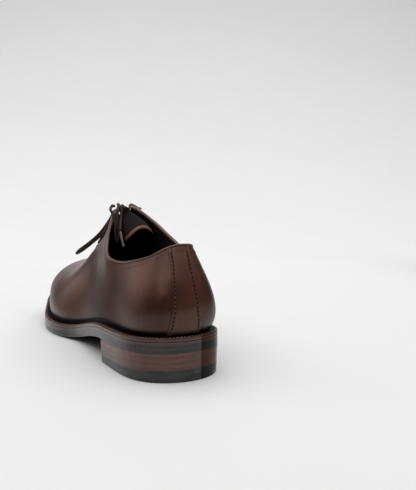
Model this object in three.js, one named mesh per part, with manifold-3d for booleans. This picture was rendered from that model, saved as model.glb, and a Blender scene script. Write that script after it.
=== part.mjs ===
// A man's whole cut oxford for the left foot, in millimetres. +X runs from heel to toe, +Y to the outer
// side of the foot, +Z up. The origin is the middle of the heel's tread, on the floor.
import * as THREE from "three";
import { mergeVertices } from "three/addons/utils/BufferGeometryUtils.js";
import Module from "manifold-3d";

const wasm = await Module();
wasm.setup();

// Driving sizes of the last and the upper
const LAST_LENGTH = 291; // feather line, from the heel to the toe
const BALL_WIDTH = 92; // feather line, across the ball
const INSTEP_HEIGHT = 98; // ridge over the seat, at the top of the facings
const BACK_HEIGHT = 63.348; // topline over the seat, at the back of the heel
const WALL = 2.2; // calf and lining together
const THROAT_GAP = 4.6; // between the two facings, at the foot of the throat
const THROAT_SPREAD = 12; // and at their tops
const THROAT_LENGTH = 55; // from the facings' top to the foot of the throat
const FACING_TOP = 0.477; // share of the last's length at which the facings start

// Driving sizes of the sole and the heel
const HEEL_HEIGHT = 22; // floor to the outsole, at the back
const HEEL_DROP = 3.5; // how much lower the heel's top is at its breast
const HEEL_LENGTH = 78; // back of the heel to its breast
const TOP_PIECE_HEIGHT = 9.4; // rubber top piece, a wedge that takes up the whole drop
const LIFT_COUNT = 3; // leather lifts of even thickness
const HEEL_TAPER = 1; // how far the heel's foot stands in from its seat
const BREAST_RADIUS = 170; // the breast is slightly hollow
const OUTSOLE = 5.6;
const MIDSOLE = 2.1;
const WELT = 2.6;
const TOE_SPRING = 13; // tread over the floor at the toe's tip
const BALL_FLAT = 26; // length of tread that lies on the floor under the ball
const BALL_AT = 0.655; // middle of that flat, as a share of the sole's length
const WELT_AT_HEEL = 6; // how far the welt stands out of the upper
const WELT_AT_BALL = 6;

// Driving sizes of what is fitted to the upper
const JOIN_GAP = 0.3; // between pieces that meet on a curve
const BINDING_HEIGHT = 2;
const BINDING_PROUD = 0.35; // how far the binding stands past the wall, each side
const STRIP_THICKNESS = 0.9;
const STRIP_TOP_WIDTH = 16;
const STRIP_FOOT_WIDTH = 26;
const INSOLE = 2.6; // sock over the seat
const TONGUE_THICKNESS = 2.4;
const TONGUE_ROOT = 8; // how far the tongue is sewn in ahead of the throat
const TONGUE_CLEAR = 0.4; // between the tongue and the facings' lining, past the joining gap
const TONGUE_FLATTER = 5; // how much lower its middle lies than the ridge would have it
const TONGUE_ROOT_WIDTH = 20;
const TONGUE_WIDTH = 24; // under the facings' tops
const TONGUE_END_WIDTH = 26;
const TONGUE_PAST = 26; // how far its free end reaches behind the facings' tops
const TONGUE_SAG = 12; // how far the free end hangs below the facings' tops
const TONGUE_ARCH = 9; // rise of the free end's middle over its corners
const TONGUE_LEAN = 4.6; // how far the free end has moved over to the inner side
const TONGUE_TILT = 2.2; // how much lower its outer corner is than its middle
const TONGUE_CORNER = 6; // how far the free end's corners are rounded back
const EYELET_COUNT = 5; // each side
const EYELET_SPACING = 9;
const EYELET_EDGE = 8.5; // from the facing's edge to the eyelets
const EYELET_FIRST = 6; // from the facings' top to the first eyelet
const EYELET_WIDTH = 3;
const LACE = 2.4;
const LACE_TIP_LENGTH = 15;
const KNOT_LENGTH = 12;
const KNOT_WIDTH = 8;
const KNOT_HEIGHT = 6;
const KNOT_BEHIND = 3; // from the uppermost bar back to the knot's middle

// Sections of the last, from the back of the heel round one side to the toe. Lengths along the last are
// shares of LAST_LENGTH, widths of BALL_WIDTH, heights of INSTEP_HEIGHT. Each section is a plane that
// stands on the axis point (at, spine) and turns from 180 at the back, through 90 at the sides, to 0 at
// the toe. Its curve leaves the feather line at outer or inner, leans out by bulge over the handle
// wall, and comes over the crown handle to its top, reach out from the axis and lead ahead of it.
const sections = [
  { at: 0.112, turn: 180, spine: 0, outer: 0.359, inner: 0.359, bulgeOut: 0.183, bulgeIn: 0.183,
    wall: 0.224, top: 0.796, reach: 0.2, reachIn: 0.229, lead: 0, crown: 0.082, drop: 0.235, facets: 3 },
  { at: 0.112, turn: 150, spine: 0, outer: 0.36, inner: 0.359, bulgeOut: 0.238, bulgeIn: 0.238,
    wall: 0.224, top: 0.796, reach: 0.134, reachIn: 0.196, lead: 0, crown: 0.081, drop: 0.235, facets: 3 },
  { at: 0.112, turn: 120, spine: 0, outer: 0.348, inner: 0.353, bulgeOut: 0.165, bulgeIn: 0.165,
    wall: 0.224, top: 0.806, reach: 0.118, reachIn: 0.135, lead: 0, crown: 0.052, drop: 0.235, facets: 3 },
  { at: 0.119, turn: 90, spine: 0, outer: 0.348, inner: 0.342, bulgeOut: 0.087, bulgeIn: 0.078,
    wall: 0.235, top: 0.816, reach: 0.163, reachIn: 0.174, lead: 0, crown: 0.043, drop: 0.235, facets: 3 },
  { at: 0.201, turn: 90, spine: 0, outer: 0.365, inner: 0.332, bulgeOut: 0.025, bulgeIn: 0.096,
    wall: 0.255, top: 0.847, reach: 0.215, reachIn: 0.228, lead: 0, crown: 0.042, drop: 0.245, facets: 4 },
  { at: 0.297, turn: 90, spine: 0, outer: 0.372, inner: 0.299, bulgeOut: -0.02, bulgeIn: 0.123,
    wall: 0.306, top: 0.94, reach: 0.245, reachIn: 0.263, lead: 0, crown: 0.082, drop: 0.265, facets: 5 },
  { at: 0.399, turn: 90, spine: -0.02, outer: 0.389, inner: 0.283, bulgeOut: -0.034, bulgeIn: 0.125,
    wall: 0.347, top: 1.143, reach: 0.065, reachIn: 0.065, lead: 0, crown: 0.127, drop: 0.082, facets: 8 },
  { at: 0.502, turn: 90, spine: -0.025, outer: 0.404, inner: 0.315, bulgeOut: -0.011, bulgeIn: 0.109,
    wall: 0.367, top: 0.974, reach: 0, reachIn: 0, lead: 0, crown: 0.112, drop: 0, facets: 4 },
  { at: 0.587, turn: 90, spine: -0.022, outer: 0.484, inner: 0.381, bulgeOut: 0.011, bulgeIn: 0.076,
    wall: 0.32, top: 0.795, reach: 0, reachIn: 0, lead: 0, crown: 0.137, drop: 0, facets: 4 },
  { at: 0.672, turn: 90, spine: -0.02, outer: 0.525, inner: 0.446, bulgeOut: 0.041, bulgeIn: 0.054,
    wall: 0.28, top: 0.594, reach: 0, reachIn: 0, lead: 0, crown: 0.201, drop: 0, facets: 4 },
  { at: 0.758, turn: 90, spine: -0.026, outer: 0.503, inner: 0.462, bulgeOut: 0.076, bulgeIn: 0.049,
    wall: 0.244, top: 0.496, reach: 0, reachIn: 0, lead: 0, crown: 0.268, drop: 0, facets: 4 },
  { at: 0.843, turn: 90, spine: -0.033, outer: 0.435, inner: 0.413, bulgeOut: 0.103, bulgeIn: 0.043,
    wall: 0.216, top: 0.431, reach: 0, reachIn: 0, lead: 0, crown: 0.279, drop: 0, facets: 3 },
  { at: 0.857, turn: 64, spine: -0.035, outer: 0.406, inner: 0.402, bulgeOut: 0.099, bulgeIn: 0.04,
    wall: 0.193, top: 0.434, reach: 0, reachIn: 0, lead: 0.007, crown: 0.257, drop: 0, facets: 3 },
  { at: 0.857, turn: 40, spine: -0.035, outer: 0.43, inner: 0.42, bulgeOut: 0.078, bulgeIn: 0.038,
    wall: 0.158, top: 0.4, reach: 0, reachIn: 0, lead: 0.022, crown: 0.223, drop: 0, facets: 3 },
  { at: 0.857, turn: 18, spine: -0.035, outer: 0.452, inner: 0.449, bulgeOut: 0.054, bulgeIn: 0.034,
    wall: 0.148, top: 0.35, reach: 0, reachIn: 0, lead: 0.032, crown: 0.195, drop: 0, facets: 3 },
  { at: 0.857, turn: 0, spine: -0.035, outer: 0.457, inner: 0.457, bulgeOut: 0.033, bulgeIn: 0.033,
    wall: 0.143, top: 0.3, reach: 0, reachIn: 0, lead: 0.036, crown: 0.179, drop: 0, facets: 3 },
];
const TOE = sections.length - 1;
const ROUND = 2 * TOE; // sections round the whole last, the toe's and the heel's once each

// The topline seen from the side: heights over the floor at the back, as shares of BACK_HEIGHT
const topline = [
  { at: -0.02, outer: 1.02, inner: 1.02 },
  { at: 0.025, outer: 1, inner: 1 },
  { at: 0.075, outer: 0.848, inner: 0.918 },
  { at: 0.143, outer: 0.762, inner: 0.841 },
  { at: 0.211, outer: 0.715, inner: 0.803 },
  { at: 0.28, outer: 0.724, inner: 0.828 },
  { at: 0.341, outer: 0.799, inner: 0.937 },
  { at: 0.392, outer: 0.934, inner: 1.075 },
  { at: 0.433, outer: 1.114, inner: 1.186 },
  { at: 0.467, outer: 1.308, inner: 1.32 },
  { at: 0.501, outer: 1.586, inner: 1.586 },
];

const deg = Math.PI / 180;
const clamp = (x, low, high) => Math.min(Math.max(x, low), high);
const mix = (a, b, k) => a + (b - a) * k;

// Smooth closed curve through a list of numbers, one for each whole step of its variable
function smoothLoop(values) {
  const n = values.length;
  let knots = [...values];
  for (let pass = 0; pass < 40; pass++) {
    const now = knots;
    const around = (i) => (now[(i + n - 1) % n] + 4 * now[i] + now[(i + 1) % n]) / 6;
    knots = now.map((knot, i) => knot + values[i] - around(i));
  }
  return (u) => {
    const i = Math.floor(u);
    const f = u - i;
    const knot = (k) => knots[(((i + k) % n) + n) % n];
    const early = (1 - f) ** 3 * knot(-1) + (3 * f ** 3 - 6 * f ** 2 + 4) * knot(0);
    const late = (-3 * f ** 3 + 3 * f ** 2 + 3 * f + 1) * knot(1) + f ** 3 * knot(2);
    return (early + late) / 6;
  };
}

// Smooth curve through the points of a table, level past its ends
function smoothTable(rows, key) {
  const slope = (i) => {
    const a = rows[Math.max(i - 1, 0)];
    const b = rows[Math.min(i + 1, rows.length - 1)];
    return (b[key] - a[key]) / (b.at - a.at);
  };
  return (x) => {
    const at = clamp(x, rows[0].at, rows.at(-1).at);
    const i = clamp(rows.findLastIndex((row) => row.at <= at), 0, rows.length - 2);
    const span = rows[i + 1].at - rows[i].at;
    const k = (at - rows[i].at) / span;
    const from = rows[i][key] * (1 + 2 * k) + slope(i) * span * k;
    const to = rows[i + 1][key] * (3 - 2 * k) + slope(i + 1) * span * (k - 1);
    return from * (1 - k) ** 2 + to * k ** 2;
  };
}

const SOLE_LENGTH = LAST_LENGTH + WELT_AT_HEEL + WELT_AT_BALL;
const SOLE_STACK = OUTSOLE + MIDSOLE + WELT + 3 * JOIN_GAP;

// Height of the tread: the heel's top, the shank's sweep, the flat under the ball and the toe spring
function treadHeight(x) {
  const flatStart = SOLE_LENGTH * BALL_AT - BALL_FLAT / 2;
  const flatEnd = flatStart + BALL_FLAT;
  if (x <= HEEL_LENGTH) return HEEL_HEIGHT - (HEEL_DROP * x) / HEEL_LENGTH;
  if (x <= flatStart) {
    const span = flatStart - HEEL_LENGTH;
    const k = (x - HEEL_LENGTH) / span;
    const breast = HEEL_HEIGHT - HEEL_DROP;
    const fall = (-HEEL_DROP / HEEL_LENGTH) * span;
    return (breast * (1 + 2 * k) + fall * k) * (1 - k) ** 2;
  }
  if (x <= flatEnd) return 0;
  return TOE_SPRING * ((x - flatEnd) / (SOLE_LENGTH - flatEnd)) ** 1.8;
}
const seatHeight = (x) => treadHeight(x) + SOLE_STACK;

// Side of the foot for a place round the last: +1 on the outer side, -1 on the inner side
const sideOf = (u) => (u >= 0 && u <= TOE ? 1 : -1);

// The four guide curves of the last: feather line, wall handle, crown handle and top
function sectionHandles(index) {
  const row = sections[index <= TOE ? index : ROUND - index];
  const side = sideOf(index);
  const [reach, bulge] = side > 0 ? [row.outer, row.bulgeOut] : [row.inner, row.bulgeIn];
  const out = new THREE.Vector3(Math.cos(row.turn * deg), side * Math.sin(row.turn * deg), 0);
  const axis = new THREE.Vector3(WELT_AT_HEEL + row.at * LAST_LENGTH, row.spine * BALL_WIDTH, 0);
  const feather = axis.clone().addScaledVector(out, reach * BALL_WIDTH);
  feather.z = seatHeight(feather.x);
  const wall = feather.clone().addScaledVector(out, bulge * BALL_WIDTH);
  wall.z += row.wall * INSTEP_HEIGHT;
  const top = axis.clone().addScaledVector(out, (side > 0 ? row.reach : row.reachIn) * BALL_WIDTH);
  top.x += row.lead * LAST_LENGTH;
  top.z = seatHeight(top.x) + row.top * INSTEP_HEIGHT;
  const crown = top.clone().addScaledVector(out, row.crown * BALL_WIDTH);
  crown.z -= row.drop * INSTEP_HEIGHT + Math.max(out.x, 0) * row.crown * BALL_WIDTH * TOE_SLOPE;
  return [feather, wall, crown, top];
}
const TOE_SLOPE = 0.25; // fall of the ridge over the toe

const handles = Array.from({ length: ROUND }, (_, index) => sectionHandles(index));
const guides = [0, 1, 2, 3].map((k) =>
  ["x", "y", "z"].map((axis) => smoothLoop(handles.map((four) => four[k][axis]))),
);

// Point of the last at place u round it and level t, from 0 at the feather line to 1 at the top
function lastPoint(u, t) {
  const weights = [(1 - t) ** 3, 3 * (1 - t) ** 2 * t, 3 * (1 - t) * t ** 2, t ** 3];
  const coordinate = (axis) => weights.reduce((sum, w, k) => sum + w * guides[k][axis](u), 0);
  return new THREE.Vector3(coordinate(0), coordinate(1), coordinate(2));
}

function lastNormal(u, t) {
  const [du, dt] = [0.01, 0.005];
  const level = Math.min(t, 1 - dt);
  const along = lastPoint(u + du, level).sub(lastPoint(u - du, level));
  const upward = lastPoint(u, level + dt).sub(lastPoint(u, level - dt));
  return upward.cross(along).normalize();
}

// First variable at which a falling function reaches zero, between low and high
function rootOf(test, low, high) {
  for (let pass = 0; pass < 34; pass++) {
    const middle = (low + high) / 2;
    if (test(middle) > 0) low = middle;
    else high = middle;
  }
  return (low + high) / 2;
}

// The open edge of the upper: topline round the collar, a rounded corner, and the throat
const collarOuter = smoothTable(topline, "outer");
const collarInner = smoothTable(topline, "inner");
const throatTop = WELT_AT_HEEL + FACING_TOP * LAST_LENGTH;
const throatFoot = throatTop + THROAT_LENGTH;
const THROAT_FOOT_ROUND = 5;
const CORNER_ROUND = 7;
const throatOpening = (x) => mix(THROAT_GAP, THROAT_SPREAD, clamp((throatFoot - x) / THROAT_LENGTH, 0, 1.3));
const ridgeSide = (u) => (guides[3][1](u) + guides[3][1](ROUND - u)) / 2;

function edgeDistance(u, t) {
  const p = lastPoint(u, t);
  const share = (p.x - WELT_AT_HEEL) / LAST_LENGTH;
  const height = (sideOf(u) > 0 ? collarOuter : collarInner)(share) * BACK_HEIGHT;
  const underTopline = seatHeight(0) + height - p.z;
  const closing = Math.sqrt(clamp((throatFoot - p.x) / THROAT_FOOT_ROUND, 0, 1));
  const aside = p.x > HEEL_LENGTH ? sideOf(u) * (p.y - ridgeSide(u)) : BALL_WIDTH;
  const besideThroat = aside - (throatOpening(p.x) / 2) * closing;
  const near = Math.max(CORNER_ROUND - Math.abs(underTopline - besideThroat), 0) / CORNER_ROUND;
  return Math.min(underTopline, besideThroat) - (near ** 2 * CORNER_ROUND) / 4;
}

function topLevel(u) {
  if (guides[3][0](u) >= throatFoot) return 1;
  return rootOf((t) => edgeDistance(u, t), 0.2, 1);
}

// A closed mesh from points and triangles, with the points' order kept
function meshGeometry(points, triangles) {
  return new THREE.BufferGeometry()
    .setAttribute("position", new THREE.Float32BufferAttribute(points.flatMap((p) => [p.x, p.y, p.z]), 3))
    .setIndex(triangles);
}

function solidOf(geometry) {
  const bare = geometry.clone();
  bare.deleteAttribute("normal");
  bare.deleteAttribute("uv");
  const merged = mergeVertices(bare, 1e-3);
  return new wasm.Manifold(
    new wasm.Mesh({
      numProp: 3,
      vertProperties: merged.attributes.position.array,
      triVerts: new Uint32Array(merged.index.array),
    }),
  );
}

function geometryOf(solid) {
  const mesh = solid.getMesh();
  return new THREE.BufferGeometry()
    .setAttribute("position", new THREE.Float32BufferAttribute(mesh.vertProperties, mesh.numProp))
    .setIndex([...mesh.triVerts]);
}

const quad = (a, b, c, d) => [a, b, c, a, c, d];

// Places round the last: each section's step is split into its number of facets
const places = Array.from({ length: ROUND }, (_, index) => {
  const { facets } = sections[index < TOE ? index : ROUND - 1 - index];
  return Array.from({ length: facets }, (_, k) => index + k / facets);
}).flat();
const mirrored = (i) => (places.length - i) % places.length;

// A skin between a lower and an upper level, offset out of the last on both faces. Its two halves are
// joined along the ridge wherever the open edge has closed.
const LEVELS = 8;
function upperGeometry() {
  const columns = places.length;
  const closed = places.map((u) => topLevel(u) === 1);
  const outer = [];
  const index = places.map(() => []);
  places.forEach((u, i) => {
    for (let j = 0; j <= LEVELS; j++) {
      if (j === LEVELS && closed[i] && u > TOE) {
        index[i][j] = index[mirrored(i)][j];
        continue;
      }
      const p = lastPoint(u, (topLevel(u) * j) / LEVELS);
      if (j === LEVELS && closed[i]) p.y = ridgeSide(u);
      index[i][j] = outer.length;
      outer.push(p);
    }
  });
  const skin = [];
  for (let i = 0; i < columns; i++) {
    const next = (i + 1) % columns;
    for (let j = 0; j < LEVELS; j++)
      skin.push(...quad(index[i][j], index[i][j + 1], index[next][j + 1], index[next][j]));
  }
  const shape = meshGeometry(outer, skin);
  shape.computeVertexNormals();
  const normal = new THREE.Vector3();
  const inner = outer.map((p, k) =>
    p.clone().addScaledVector(normal.fromBufferAttribute(shape.attributes.normal, k), -WALL),
  );
  for (let i = 0; i < columns; i++) inner[index[i][0]].z = outer[index[i][0]].z;
  const count = outer.length;
  const lining = [];
  for (let k = 0; k < skin.length; k += 3)
    lining.push(skin[k] + count, skin[k + 2] + count, skin[k + 1] + count);
  const rims = [];
  for (let i = 0; i < columns; i++) {
    const next = (i + 1) % columns;
    const [a, b] = [index[i][0], index[next][0]];
    rims.push(...quad(a, b, b + count, a + count));
    if (closed[i] && closed[next]) continue;
    const [c, d] = [index[i][LEVELS], index[next][LEVELS]];
    rims.push(...quad(c, c + count, d + count, d));
  }
  return meshGeometry([...outer, ...inner], [...skin, ...lining, ...rims]);
}

// Place round the outer side at which the ridge passes x, and level at which a section is spread wide
const placeAt = (x) => rootOf((u) => x - guides[3][0](u), 5.5, TOE);
function levelAtSpread(u, spread) {
  return rootOf((t) => Math.abs(lastPoint(u, t).y - ridgeSide(u)) - spread, 0.3, 1);
}

const eyeletPlaces = Array.from({ length: EYELET_COUNT }, (_, k) =>
  placeAt(throatTop + EYELET_FIRST + k * EYELET_SPACING),
);

// Distance from the middle of the throat to a facing's edge, and to an eyelet in it
const facingEdge = (u) => throatOpening(guides[3][0](u)) / 2;
const eyeletSpread = (u) => facingEdge(u) + EYELET_EDGE;

// Holes through both facings, square to the leather
function eyeletDrill(u) {
  const t = levelAtSpread(u, eyeletSpread(u <= TOE ? u : ROUND - u));
  const drill = new THREE.CylinderGeometry(EYELET_WIDTH / 2, EYELET_WIDTH / 2, 4 * WALL, 8);
  const turn = new THREE.Quaternion().setFromUnitVectors(new THREE.Vector3(0, 1, 0), lastNormal(u, t));
  drill.applyQuaternion(turn);
  drill.translate(...lastPoint(u, t).addScaledVector(lastNormal(u, t), -WALL / 2).toArray());
  return solidOf(drill);
}

function punchedUpper() {
  let solid = solidOf(upperGeometry());
  for (const u of eyeletPlaces)
    for (const place of [u, ROUND - u]) solid = solid.subtract(eyeletDrill(place));
  return geometryOf(solid);
}

// Outline of the sole in plan: the feather line moved out by the welt, or in by a distance of its own
function soleWelt(u) {
  const x = (guides[0][0](u) - WELT_AT_HEEL) / LAST_LENGTH;
  const ease = clamp((x - 0.3) / 0.3, 0, 1);
  return mix(WELT_AT_HEEL, WELT_AT_BALL, ease ** 2 * (3 - 2 * ease));
}

function featherOffset(u, distance) {
  const du = 0.01;
  const along = new THREE.Vector2(
    guides[0][0](u + du) - guides[0][0](u - du),
    guides[0][1](u + du) - guides[0][1](u - du),
  ).normalize();
  return { x: guides[0][0](u) - along.y * distance, y: guides[0][1](u) + along.x * distance };
}

// A plate between two heights, each a function of x, with the same outline at both. Rungs join the two
// sides, and each point of the outline is moved out by a function of its place.
function plateGeometry(low, high, distanceAt, edge) {
  const rims = edge.map(({ inset, share }) =>
    places.map((u) => {
      const p = featherOffset(u, distanceAt(u) - inset);
      return new THREE.Vector3(p.x, p.y, mix(low(p.x), high(p.x), share));
    }),
  );
  const columns = places.length;
  const triangles = [];
  for (let k = 0; k + 1 < rims.length; k++)
    for (let i = 0; i < columns; i++) {
      const next = (i + 1) % columns;
      const [a, b] = [k * columns, (k + 1) * columns];
      triangles.push(...quad(a + i, b + i, b + next, a + next));
    }
  const top = (rims.length - 1) * columns;
  for (let i = 0; i < columns / 2; i++) {
    const [j, k] = [mirrored(i), mirrored(i + 1)];
    triangles.push(...quad(top + i, top + j, top + k, top + i + 1), ...quad(i, i + 1, k, j));
  }
  const flat = triangles.filter((_, n) => {
    const [a, b, c] = triangles.slice(n - (n % 3), n - (n % 3) + 3);
    return a !== b && b !== c && c !== a;
  });
  return meshGeometry(rims.flat(), flat);
}

const plainEdge = [{ inset: 0, share: 0 }, { inset: 0, share: 1 }];
const outsoleEdge = [{ inset: 0.9, share: 0 }, { inset: 0, share: 0.2 }, { inset: 0, share: 1 }];
const weltEdge = [{ inset: 0.2, share: 0 }, { inset: 0, share: 0.7 }, { inset: 0.5, share: 1 }];

const midsoleFoot = (x) => treadHeight(x) + OUTSOLE + JOIN_GAP;
const weltFoot = (x) => midsoleFoot(x) + MIDSOLE + JOIN_GAP;
const weltTop = (x) => weltFoot(x) + WELT;

// The welt is a ring: a plate with its middle cut away, where the insole lies
const WELT_INSIDE = WALL + 1.4;
function weltGeometry() {
  const plate = solidOf(plateGeometry(weltFoot, weltTop, soleWelt, weltEdge));
  const middle = plateGeometry(
    (x) => weltFoot(x) - 1,
    (x) => weltTop(x) + 1,
    () => -WELT_INSIDE,
    plainEdge,
  );
  return geometryOf(plate.subtract(solidOf(middle)));
}

const insoleGeometry = () =>
  plateGeometry(weltFoot, (x) => weltTop(x) + INSOLE, () => -WELT_INSIDE - JOIN_GAP, plainEdge);

// Heel: the sole's outline, cut off by the breast, between two heights
function heelPiece(low, high) {
  const inset = (z) => HEEL_TAPER * clamp(1 - z / HEEL_HEIGHT, 0, 1);
  const edge = [
    { inset: inset(low(0)), share: 0 },
    { inset: inset(high(0)), share: 1 },
  ];
  const block = solidOf(plateGeometry(low, high, soleWelt, edge));
  const reach = 3 * BREAST_RADIUS;
  const hollow = new THREE.CylinderGeometry(BREAST_RADIUS, BREAST_RADIUS, reach, 120);
  hollow.rotateX(Math.PI / 2);
  hollow.translate(HEEL_LENGTH + BREAST_RADIUS - BREAST_HOLLOW, 0, 0);
  const ahead = new THREE.BoxGeometry(reach, reach, reach);
  ahead.translate(HEEL_LENGTH + reach / 2, 0, 0);
  return geometryOf(block.subtract(solidOf(hollow)).subtract(solidOf(ahead)));
}
const BREAST_HOLLOW = 2.5;

// Bead round the collar, over the cut edge of the wall, from one facing's corner to the other's
function bindingGeometry() {
  const last = places.filter((u) => u < TOE && topLevel(u) < 1 && edgeIsCollar(u)).length;
  const along = [];
  for (let i = -(last - 1); i < last; i++) along.push(places[(i + places.length) % places.length]);
  const sides = 8;
  const points = [];
  const triangles = [];
  along.forEach((u, i) => {
    const t = topLevel(u);
    const edge = lastPoint(u, t);
    const out = lastNormal(u, t);
    const ahead = along[Math.min(i + 1, along.length - 1)];
    const behind = along[Math.max(i - 1, 0)];
    const run = lastPoint(ahead, topLevel(ahead)).sub(lastPoint(behind, topLevel(behind))).normalize();
    const over = new THREE.Vector3().crossVectors(run, out).normalize();
    const middle = edge.clone().addScaledVector(out, -WALL / 2);
    middle.addScaledVector(over, JOIN_GAP + BINDING_HEIGHT / 2);
    for (let k = 0; k < sides; k++) {
      const angle = ((k + 0.5) / sides) * 2 * Math.PI;
      const wide = (WALL / 2 + BINDING_PROUD) * Math.cos(angle);
      const high = (BINDING_HEIGHT / 2) * Math.sin(angle);
      points.push(middle.clone().addScaledVector(out, wide).addScaledVector(over, high));
    }
  });
  for (let i = 0; i + 1 < along.length; i++)
    for (let k = 0; k < sides; k++) {
      const [a, b] = [i * sides, (i + 1) * sides];
      const turn = (k + 1) % sides;
      triangles.push(...quad(a + k, a + turn, b + turn, b + k));
    }
  const end = (along.length - 1) * sides;
  for (let k = 1; k + 1 < sides; k++) triangles.push(0, k + 1, k, end, end + k, end + k + 1);
  return facingOut(meshGeometry(points, triangles));
}

function edgeIsCollar(u) {
  return lastPoint(u, topLevel(u)).x < throatTop + CORNER_ROUND / 3;
}

// Turns a closed mesh's faces to point out of it
function facingOut(geometry) {
  if (solidOf(geometry).volume() > 0) return geometry;
  const turned = [...geometry.index.array];
  for (let k = 0; k < turned.length; k += 3) [turned[k + 1], turned[k + 2]] = [turned[k + 2], turned[k + 1]];
  return geometry.setIndex(turned);
}

// A sheet of even thickness over a grid of points and normals, given as a function of two shares
function sheetGeometry(rows, columns, pointAt, thickness) {
  const points = [];
  for (const depth of [0, thickness])
    for (let i = 0; i <= rows; i++)
      for (let j = 0; j <= columns; j++) {
        const { point, normal } = pointAt(i / rows, j / columns);
        points.push(point.clone().addScaledVector(normal, depth));
      }
  const count = (rows + 1) * (columns + 1);
  const at = (i, j) => i * (columns + 1) + j;
  const triangles = [];
  for (let i = 0; i < rows; i++)
    for (let j = 0; j < columns; j++) {
      const [a, b, c, d] = [at(i, j), at(i + 1, j), at(i + 1, j + 1), at(i, j + 1)];
      triangles.push(...quad(a, d, c, b), ...quad(a + count, b + count, c + count, d + count));
    }
  for (let i = 0; i < rows; i++)
    for (const [a, b] of [[at(i, 0), at(i + 1, 0)], [at(i + 1, columns), at(i, columns)]])
      triangles.push(...quad(a, b, b + count, a + count));
  for (let j = 0; j < columns; j++)
    for (const [a, b] of [[at(rows, j), at(rows, j + 1)], [at(0, j + 1), at(0, j)]])
      triangles.push(...quad(a, b, b + count, a + count));
  return facingOut(meshGeometry(points, triangles));
}

// Strip over the back seam, wider at its foot, from the welt to the binding
function backStripGeometry() {
  return sheetGeometry(
    9,
    8,
    (rise, across) => {
      const half = mix(STRIP_FOOT_WIDTH, STRIP_TOP_WIDTH, Math.min(1, rise * 1.25)) / 2;
      const centre = topLevel(0) * rise;
      const step = lastPoint(0.1, centre).distanceTo(lastPoint(-0.1, centre)) / 0.2;
      const u = ((2 * across - 1) * half) / step;
      const t = topLevel(u) * mix(0.012, 1, rise);
      const normal = lastNormal(u, t);
      return { point: lastPoint(u, t).addScaledVector(normal, JOIN_GAP), normal };
    },
    STRIP_THICKNESS,
  );
}

// Point of the tongue's upper face under the facings, at x and a share of its half width to one side
function facedTonguePoint(x, side) {
  const ridge = placeAt(x);
  const place = side >= 0 ? ridge : ROUND - ridge;
  const widening = (throatFoot + TONGUE_ROOT - x) / (THROAT_LENGTH + TONGUE_ROOT);
  const spread = (side * mix(TONGUE_ROOT_WIDTH, TONGUE_WIDTH, widening)) / 2;
  const level = levelAtSpread(place, Math.abs(spread));
  const normal = lastNormal(place, Math.min(level, 0.97));
  const point = lastPoint(place, level);
  point.y = ridgeSide(ridge) + spread;
  normal.y *= Math.min(Math.abs(spread) / 4, 1);
  const depth = WALL + JOIN_GAP + TONGUE_CLEAR + TONGUE_FLATTER * (1 - side ** 2) ** 2;
  return point.addScaledVector(normal.normalize(), -depth);
}

// Behind the facings' tops the tongue is free: it leaves along the ridge and curls over to its end
const TONGUE_FACED = 0.6;
function tonguePoint(back, side) {
  const start = throatFoot + TONGUE_ROOT;
  if (back <= TONGUE_FACED) return facedTonguePoint(mix(start, throatTop, back / TONGUE_FACED), side);
  const from = facedTonguePoint(throatTop, side);
  const leave = from.clone().sub(facedTonguePoint(throatTop + 1, side)).normalize();
  const end = facedTonguePoint(throatTop, 0);
  end.x -= TONGUE_PAST - TONGUE_CORNER * side ** 4;
  end.y += (side * TONGUE_END_WIDTH) / 2 - TONGUE_LEAN;
  end.z -= TONGUE_SAG + TONGUE_ARCH * side ** 2 + TONGUE_TILT * side;
  const k = (back - TONGUE_FACED) / (1 - TONGUE_FACED);
  const j = 1 - k;
  return from
    .multiplyScalar((1 + 2 * k) * j ** 2)
    .addScaledVector(leave, (TONGUE_PAST / 2) * k * j ** 2)
    .addScaledVector(end, k ** 2 * (3 - 2 * k))
    .addScaledVector(new THREE.Vector3(-1, 0, -0.8), -TONGUE_PAST * j * k ** 2);
}

function tongueGeometry() {
  const step = 0.01;
  return sheetGeometry(
    10,
    12,
    (back, across) => {
      const side = 2 * across - 1;
      const along = tonguePoint(back + step, side).sub(tonguePoint(back - step, side));
      const over = tonguePoint(back, side + step).sub(tonguePoint(back, side - step));
      return { point: tonguePoint(back, side), normal: along.cross(over).normalize() };
    },
    TONGUE_THICKNESS,
  );
}

// Round cord along a smooth line through points
function cordGeometry(points, width, steps, sides = 8) {
  const ring = new THREE.Shape(
    Array.from({ length: sides }, (_, k) => {
      const angle = (k / sides) * 2 * Math.PI;
      return new THREE.Vector2((Math.cos(angle) * width) / 2, (Math.sin(angle) * width) / 2);
    }),
  );
  const path = new THREE.CatmullRomCurve3(points, false, "centripetal");
  return new THREE.ExtrudeGeometry(ring, { steps, extrudePath: path, curveSegments: 1 });
}

// Bar of lace from eyelet to eyelet: it lies on both facings and is drawn straight over the throat
const LACE_CLEAR = LACE / 2 + JOIN_GAP + 0.2;
function overFacing(u, spread, side) {
  const place = side > 0 ? u : ROUND - u;
  const t = levelAtSpread(place, spread);
  return lastPoint(place, t).addScaledVector(lastNormal(place, Math.min(t, 0.97)), LACE_CLEAR);
}

function laceBarPath(u) {
  const spreads = [1, 0.66, 0.33, 0].map((share) => mix(facingEdge(u), eyeletSpread(u), share));
  const inner = spreads.map((spread) => overFacing(u, spread, -1));
  const outer = spreads.map((spread) => overFacing(u, spread, 1)).reverse();
  return [...inner, ...outer];
}

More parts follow.
